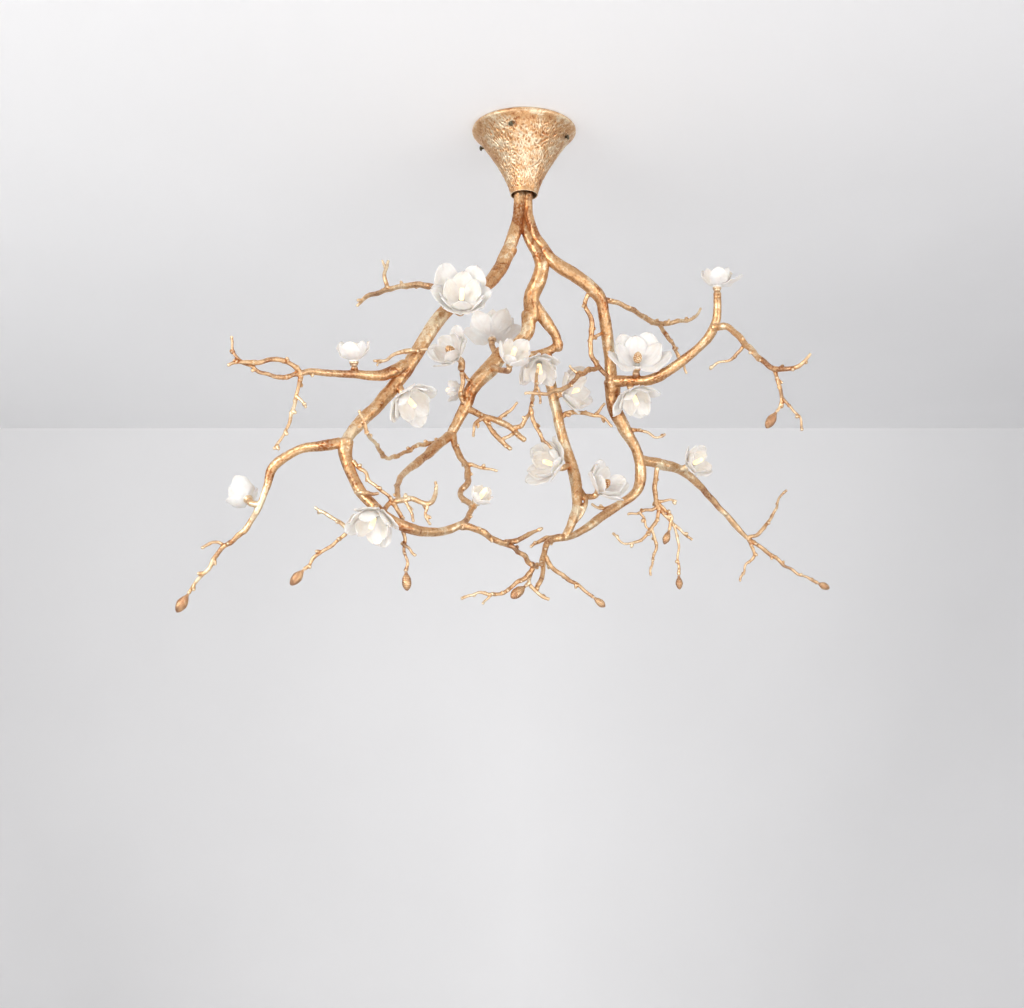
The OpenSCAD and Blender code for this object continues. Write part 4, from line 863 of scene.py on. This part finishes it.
# ---------------------------------------------------------- sizes, colours
class ChandelierSizes(bpy.types.PropertyGroup):
    """Sizes of the dressed pieces, in metres where they are lengths."""

    branch_scale: bpy.props.FloatProperty(name="Branch thickness", default=1.0, min=0.9,
        max=1.1, subtype="FACTOR", description="Thickness of every branch against the drawn one")
    bark_depth: bpy.props.FloatProperty(name="Bark depth", default=0.0006, unit="LENGTH",
        description="Depth of the cast bark on the thickest limbs", precision=5)
    canopy_bark: bpy.props.FloatProperty(name="Canopy bark depth", default=0.0009,
        unit="LENGTH", description="Depth of the cast bark on the canopy", precision=5)
    petal_thickness: bpy.props.FloatProperty(name="Petal thickness", default=0.0018,
        unit="LENGTH", description="Thickness of a petal at its middle", precision=5)
    bud_length: bpy.props.FloatProperty(name="Bud length", default=0.034, unit="LENGTH",
        description="Length of a leaf bud of full size", precision=4)
    bud_width: bpy.props.FloatProperty(name="Bud width", default=0.017, unit="LENGTH",
        description="Diameter of a leaf bud of full size", precision=4)


def colour_property(name, default, description):
    """A colour that the panel shows."""
    return bpy.props.FloatVectorProperty(name=name, default=default, description=description,
        subtype="COLOR_GAMMA", min=0, max=1)


class ChandelierColours(bpy.types.PropertyGroup):
    """Colours of the finishes, as a colour picker shows them."""

    gilt: colour_property("Gold", (0.848, 0.665, 0.475), "Gold leaf in full light")
    # Deep gold tints random patches and paints patina and shade in the hollows; pale gold tints
    # random patches and paints wear and a highlight on the ridges.
    gilt_deep: colour_property("Deep gold", (0.64, 0.395, 0.225), "Gold leaf in hollows")
    gilt_pale: colour_property("Pale gold", (0.965, 0.89, 0.76), "Gold leaf worn on ridges")
    porcelain: colour_property("Porcelain", (0.925, 0.914, 0.897), "Petals")
    # This colour tints the petals' random clouds and also paints shade in their folds.
    porcelain_cloud_and_fold_shade: colour_property("Porcelain shade", (0.9, 0.87, 0.845),
        "Petals in folds and clouds")
    lamp_glow: colour_property("Lamp glow", (1.0, 0.86, 0.6), "Light of the capsule lamps")
    lamp_strength: bpy.props.FloatProperty(name="Lamp strength", default=0.8, min=0,
        description="Brightness of the lit capsule lamps")
    ceiling: colour_property("Ceiling", (0.93, 0.93, 0.935), "Ceiling of the stage")
    wall: colour_property("Wall", (0.90, 0.90, 0.905), "Wall and floor of the stage")


# ---------------------------------------------------------------- pieces
class CHANDELIER_OT_branches(bpy.types.Operator):
    """Make the gilded branchwork, one piece for each casting"""

    bl_idname = "chandelier.branches"
    bl_label = "Branches"

    def execute(self, context):
        sizes = context.scene.chandelier_sizes
        coarse = 1.0
        for number, (node, (stalks, routes)) in enumerate(BRANCHES.items()):
            rng = np.random.default_rng(100 + number)
            limb = bool(stalks) or max(p[3] for r in routes.values() for p in r) > LIMB_D
            pitch, voxel = (LIMB_PITCH, LIMB_VOXEL) if limb else (TWIG_PITCH, TWIG_VOXEL)
            bark = sizes.bark_depth / MM
            parts = [capped(branch(route, rng, sizes.branch_scale, bark, pitch,
                runs_on=name in RUNS_ON)) for name, route in routes.items()]
            parts += [capped(branch(spur, rng, 1, bark, pitch, 0.5, 0))
                for route in routes.values() for spur in spurs(route, rng)]
            parts += [capped(branch(stalk_route(FLOWERS[i]), rng, 1, bark * 0.5, pitch,
                knots=0.4)) for i in stalks]
            piece = fuse(solid(node + "_skin", parts), voxel * coarse)
            dress(piece, finish("gilt_branch_finish"), "frame", "gilt_branch", node)
        return {"FINISHED"}


class CHANDELIER_OT_canopy(bpy.types.Operator):
    """Make the canopy's cast bark flare and its four set screws"""

    bl_idname = "chandelier.canopy"
    bl_label = "Canopy"

    def execute(self, context):
        bark = context.scene.chandelier_sizes.canopy_bark / MM
        s = np.linspace(0, 1, 100)
        outer = np.stack([NECK_R + (CANOPY_R - 4 - NECK_R) * (1 - s)**FLARE_POWER,
            -RIM_H - (CANOPY_H - RIM_H) * s], 1)
        a = np.linspace(0.1, 0.72, 10)[:, None] * math.pi
        rim = np.concatenate([[[CANOPY_R - 4 - CANOPY_WALL, 0], [CANOPY_R - 2.2, 0]],
            np.concatenate([CANOPY_R - RIM_ROUND + RIM_ROUND * np.sin(a),
                -RIM_H / 2 + RIM_H / 2 * np.cos(a)], 1)])
        outer[:, 0] += RIM_ROUND * np.exp(-(s / 0.06)**2)
        b = np.linspace(0, math.pi, 8)[1:-1, None]
        lip = np.concatenate([NECK_R - CANOPY_WALL / 2 * (1 - np.cos(b)),
            -CANOPY_H - CANOPY_WALL / 2 * np.sin(b)], 1)
        inner = outer[::-5] - [CANOPY_WALL, 0]
        profile = np.concatenate([rim, outer, lip, inner])
        first, last = len(rim), len(rim) + len(outer)
        ring = np.arange(len(profile))[:, None]
        along_flare = np.clip((ring - first) / (last - first), 0, 1)
        shown = np.clip((ring - first) / 9, 0, 1) * np.clip((last - 3 - ring) / 5, 0, 1)
        rng = np.random.default_rng(7)

        def relief(a, r, z):
            """Cast bark: wrinkles drawn out down the flare, cross cracks, pits and a few
            long ridges exp(-((a - a_k) / w)^2), faded out at the rim band and the foot."""
            girth = 12 + 0.55 * r
            q = np.stack([girth * np.cos(a), girth * np.sin(a), z + 0 * a], -1)
            wrinkles = 0.7 - np.abs(ripple(q * [1, 1, 0.45], 7, rng, 40))
            cracks = -np.clip(np.abs(ripple(q * [1, 1, 1.1] + 40, 14, rng, 40)), 0, 0.5)
            pits = -np.clip(ripple(q + 90, 6, rng, 40) - 1.0, 0, 1.2)
            ridge = 0 * q[..., 0]
            for k in range(CANOPY_RIDGES):
                middle = -math.pi / 2 + 2 * math.pi * k / CANOPY_RIDGES \
                    + 0.1 * math.sin(1.7 * k)
                gap = (a - middle - 0.12 * np.sin(3 * along_flare + k) + math.pi) \
                    % (2 * math.pi) - math.pi
                ridge += np.exp(-(gap / (0.05 + 0.02 * math.sin(1.06 * k)))**2)
            ridge *= np.sin(math.pi * np.clip(along_flare * 1.15, 0, 1))
            return shown * (bark * (0.8 * wrinkles + 1.1 * cracks + 0.8 * pits)
                + 0.55 * ridge)

        rings = revolved(profile, CANOPY_SIDES, relief)
        rings = np.concatenate([rings, rings[:1]])
        faces = grid_faces(len(rings), CANOPY_SIDES, True)
        shell = solid("canopy_flare", [(rings.reshape(-1, 3), [faces])], merge=0.001)
        dress(shell, finish("gilt_canopy_finish"), "canopy", "gilt_canopy", "canopy_shell")

        head = SCREW_D / 2 + 2.5
        foot = SCREW_HEAD_FOOT - 1
        profile = [(0.01, SCREW_TIP), (SCREW_D / 2 - 0.6, SCREW_TIP),
            (SCREW_D / 2, SCREW_TIP + 0.6), (SCREW_D / 2, foot), (head - 0.6, foot),
            (head, foot + 0.6), (head, foot + 2.2), (head - 0.7, foot + 3), (2.3, foot + 3),
            (2.1, foot + 1.4), (0.01, foot + 1.4)]

        def knurl(a, r, z):
            """Knurled edge of a screw's head: 26 waves round its rim."""
            on_rim = (r > head - 0.3) & (z > foot) & (z < foot + 2.6)
            return np.where(on_rim, 0.28 * np.cos(26 * a), 0)

        one, faces = capped(revolved(profile, 104, knurl))
        parts = []
        for k in range(4):
            turn = math.radians(SCREW_TURN + 90 * k)
            way = np.array([math.cos(turn), math.sin(turn), 0])
            parts.append((along(one, [0, 0, -SCREW_DEPTH], way), faces))
        screws = solid("set_screws", parts, merge=0.001)
        dress(screws, finish("screw_finish"), "canopy", "turned_brass", "canopy_screws")
        return {"FINISHED"}


class CHANDELIER_OT_buds(bpy.types.Operator):
    """Make the leaf buds and the seed cones of the flowers that carry no lamp"""

    bl_idname = "chandelier.buds"
    bl_label = "Buds and cones"

    def execute(self, context):
        sizes = context.scene.chandelier_sizes
        parts = []
        for number, (name, size) in enumerate(BUDS):
            route = ROUTES[name]
            last = route_curve(route, np.array([len(route) - 1.5, len(route) - 1.0]))[:, :3]
            way = unit(last[1] - last[0])
            long, wide = (x / MM * size for x in (sizes.bud_length, sizes.bud_width))
            s = np.concatenate([[0], 0.5 - 0.5 * np.cos(np.linspace(0.2, math.pi, 60))])
            r = wide / 2 * np.sin(math.pi * s**1.15)**0.65
            r = np.maximum(r, np.where(s < 0.3, 2.6, 0.05))

            def scales(a, r, z):
                """Bud scales: each laps over the next like a saw tooth that winds round,
                under two crossing spirals of small bumps."""
                tooth = (2 * a / (2 * math.pi) + 1.8 * z / long + 0.17 * number) % 1
                bumps = np.cos(9 * a + 0.9 * z) * np.cos(9 * a - 1.1 * z)
                return r * (0.1 * tooth**1.5 - 0.03) + 0.42 * bumps * (r > 2)

            points, faces = capped(revolved(np.stack([r, s * long], 1), 72, scales))
            parts.append((along(points, last[1] + SEAT_GAP * way, way), faces))
        buds = solid("bud_scales", parts, merge=0.001)
        dress(buds, finish("gilt_bud_finish"), "frame", "gilt_branch", "leaf_buds")

        parts = []
        foot = COLLAR_H + HOLDER_H + 2 * SEAT_GAP
        z = np.linspace(0, 22.5, 70)
        r = np.interp(z, [0, 4, 9, 14, 18.5, 21.5, 22.5], [5, 7.6, 8.4, 7.6, 5.2, 2.2, 0.3])

        def carpels(a, r, z):
            """Seed cone: two crossing spirals of bumps, as cos(8a + pz) + cos(5a - qz)."""
            return 0.07 * r * (np.cos(8 * a + 0.9 * z) + np.cos(5 * a - 1.5 * z)) - 0.2

        cone, faces = capped(revolved(np.stack([r, z], 1), 88, carpels))
        for i in CONED:
            placed = (cone + [0, 0, foot]) @ flower_frame(FLOWERS[i]).T + FLOWERS[i][0]
            parts.append((placed, faces))
        cones = solid("carpel_cones", parts, merge=0.001)
        dress(cones, finish("gilt_branch_finish"), "frame", "gilt_branch", "seed_cones")
        return {"FINISHED"}


class CHANDELIER_OT_flowers(bpy.types.Operator):
    """Make the porcelain flowers, one piece each: a bored foot and its petals"""

    bl_idname = "chandelier.flowers"
    bl_label = "Flowers"

    def execute(self, context):
        thick = context.scene.chandelier_sizes.petal_thickness / MM
        foot = COLLAR_H + SEAT_GAP
        bore, out = HOLDER_D / 2 + RUNNING_GAP, (COLLAR_D + 1) / 2
        ring = [(bore, foot), (out - 0.8, foot), (out, foot + 0.8), (out - 0.1, foot + 2.6),
            (out - 1.2, foot + 4), (bore + 0.5, foot + 4.2), (bore, foot + 3.6)]
        rings = revolved(ring + ring[:1], 64)
        hub = (rings.reshape(-1, 3), [grid_faces(len(rings), 64, True)])
        for number, flower in enumerate(FLOWERS):
            rng = np.random.default_rng(40 + number)
            kind, size = flower[3], flower[4]
            parts = [hub]
            point = POINT.get(number, SOFT_POINT)
            for r, tip, share, turn in ((*row[:3], t) for row in PETAL_ROWS[kind]
                    for t in row[3]):
                points, faces = petal(r * size * rng.uniform(0.97, 1.03),
                    tip * rng.uniform(0.96, 1.06), PETAL_W * share * size
                    * rng.uniform(*PETAL_FULLER), foot + PETAL_ROOT, thick, rng, point)
                parts.append((turned_z(points, turn + rng.uniform(-6, 6)), faces))
            turn, root = flower_frame(flower), np.array([0, 0, foot + PETAL_ROOT])
            leant = flower_frame((*flower[:2], flower[2] - LEAN.get(number, 0), *flower[3:]))
            parts = [((p - root) @ (leant if k else turn).T + turn @ root + flower[0], f)
                for k, (p, f) in enumerate(parts)]
            bloom = solid("magnolia_%d" % (number + 1), parts, merge=0.001)
            node = "flower_%d" % (number + 1)
            dress(bloom, finish("porcelain_finish"), "frame", "porcelain", node)
        return {"FINISHED"}


class CHANDELIER_OT_fittings(bpy.types.Operator):
    """Finish the fittings that keep their CAD shape"""

    bl_idname = "chandelier.fittings"
    bl_label = "Fittings"

    def execute(self, context):
        for node, name in (("ceiling_plate", "zinc_finish"), ("hanger_tube", "zinc_finish"),
                ("hanger_nuts", "brass_finish"), ("trunk_ferrule", "brass_finish"),
                ("driver", "plastic_finish"), ("terminal_block", "plastic_finish"),
                ("inner_leads", "lead_finish"), ("flower_collars", "gilt_branch_finish"),
                ("lamp_holders", "ceramic_finish"), ("capsule_lamps", "lamp_glass_finish")):
            repaint(node, finish(name))
        return {"FINISHED"}


class CHANDELIER_OT_stage(bpy.types.Operator):
    """Make the room, its light and the camera"""

    bl_idname = "chandelier.stage"
    bl_label = "Stage"

    def execute(self, context):
        scene = context.scene
        wide, back, low, front, top = ROOM_WIDE, ROOM_BACK, ROOM_LOW, ROOM_FRONT, ROOM_TOP
        for part, corners in (
                ("ceiling", [(-wide, front, top), (-wide, back, top), (wide, back, top),
                             (wide, front, top)]),
                ("wall", [(-wide, back, top), (-wide, back, low), (wide, back, low),
                          (wide, back, top)]),
                ("floor", [(-wide, front, low), (wide, front, low), (wide, back, low),
                           (-wide, back, low)])):
            mesh = bpy.data.meshes.new("stage_" + part)
            mesh.from_pydata(corners, [], [(0, 1, 2, 3)])
            mesh.materials.append(finish(part + "_finish"))
            sheet = bpy.data.objects.new(mesh.name, mesh)
            scene.collection.objects.link(sheet)
        for name, (place, aim, power, size, colour) in LIGHTS.items():
            light = bpy.data.lights.new(name, "AREA")
            light.energy, light.size, light.color = power, size, colour
            lamp = bpy.data.objects.new(name, light)
            scene.collection.objects.link(lamp)
            lamp.location = place
            lamp.rotation_euler = look_along([b - a for a, b in zip(place, aim)])
            lamp.visible_camera = False
        world = bpy.data.worlds.new("studio_air")
        world.use_nodes = True
        air = world.node_tree.nodes["Background"]
        air.inputs["Color"].default_value = (0.9, 0.9, 0.905, 1)
        air.inputs["Strength"].default_value = 1.1
        scene.world = world
        camera = bpy.data.cameras.new("camera")
        camera.lens, camera.sensor_width = CAMERA_LENS, 36.0
        camera.clip_end = 60
        view = bpy.data.objects.new("camera", camera)
        scene.collection.objects.link(view)
        view.location = CAMERA_PLACE
        view.rotation_euler = (math.radians(CAMERA_TILT), 0, 0)
        scene.camera = view
        scene.view_settings.view_transform = "Standard"
        return {"FINISHED"}


def look_along(way):
    """Turn of a lamp that shines along way."""
    x, y, z = unit(np.array(way, float))
    return (math.acos(-z), 0, math.atan2(-x, y))


class CHANDELIER_PT_panel(bpy.types.Panel):
    """Sizes, colours and makers of the branch chandelier"""

    bl_label = "Branch chandelier"
    bl_idname = "CHANDELIER_PT_panel"
    bl_space_type = "VIEW_3D"
    bl_region_type = "UI"
    bl_category = "Chandelier"

    def draw(self, context):
        layout = self.layout
        for group in (context.scene.chandelier_sizes, context.scene.chandelier_colours):
            box = layout.box()
            for name in group.__annotations__:
                box.prop(group, name)
        column = layout.column(align=True)
        for maker in MAKERS:
            column.operator(maker.bl_idname)


MAKERS = (CHANDELIER_OT_stage, CHANDELIER_OT_fittings, CHANDELIER_OT_canopy,
    CHANDELIER_OT_branches, CHANDELIER_OT_buds, CHANDELIER_OT_flowers)
CLASSES = (ChandelierSizes, ChandelierColours, *MAKERS, CHANDELIER_PT_panel)


def register():
    """Registers the classes and hangs the settings on the scene."""
    for part in CLASSES:
        bpy.utils.register_class(part)
    bpy.types.Scene.chandelier_sizes = bpy.props.PointerProperty(type=ChandelierSizes)
    bpy.types.Scene.chandelier_colours = bpy.props.PointerProperty(type=ChandelierColours)


def unregister():
    """Takes the settings and the classes away again."""
    del bpy.types.Scene.chandelier_sizes
    del bpy.types.Scene.chandelier_colours
    for part in reversed(CLASSES):
        bpy.utils.unregister_class(part)


def main():
    """Registers the add-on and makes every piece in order."""
    register()
    bpy.ops.chandelier.stage()
    bpy.ops.chandelier.fittings()
    bpy.ops.chandelier.canopy()
    bpy.ops.chandelier.branches()
    bpy.ops.chandelier.buds()
    bpy.ops.chandelier.flowers()


if __name__ == "__main__":
    main()
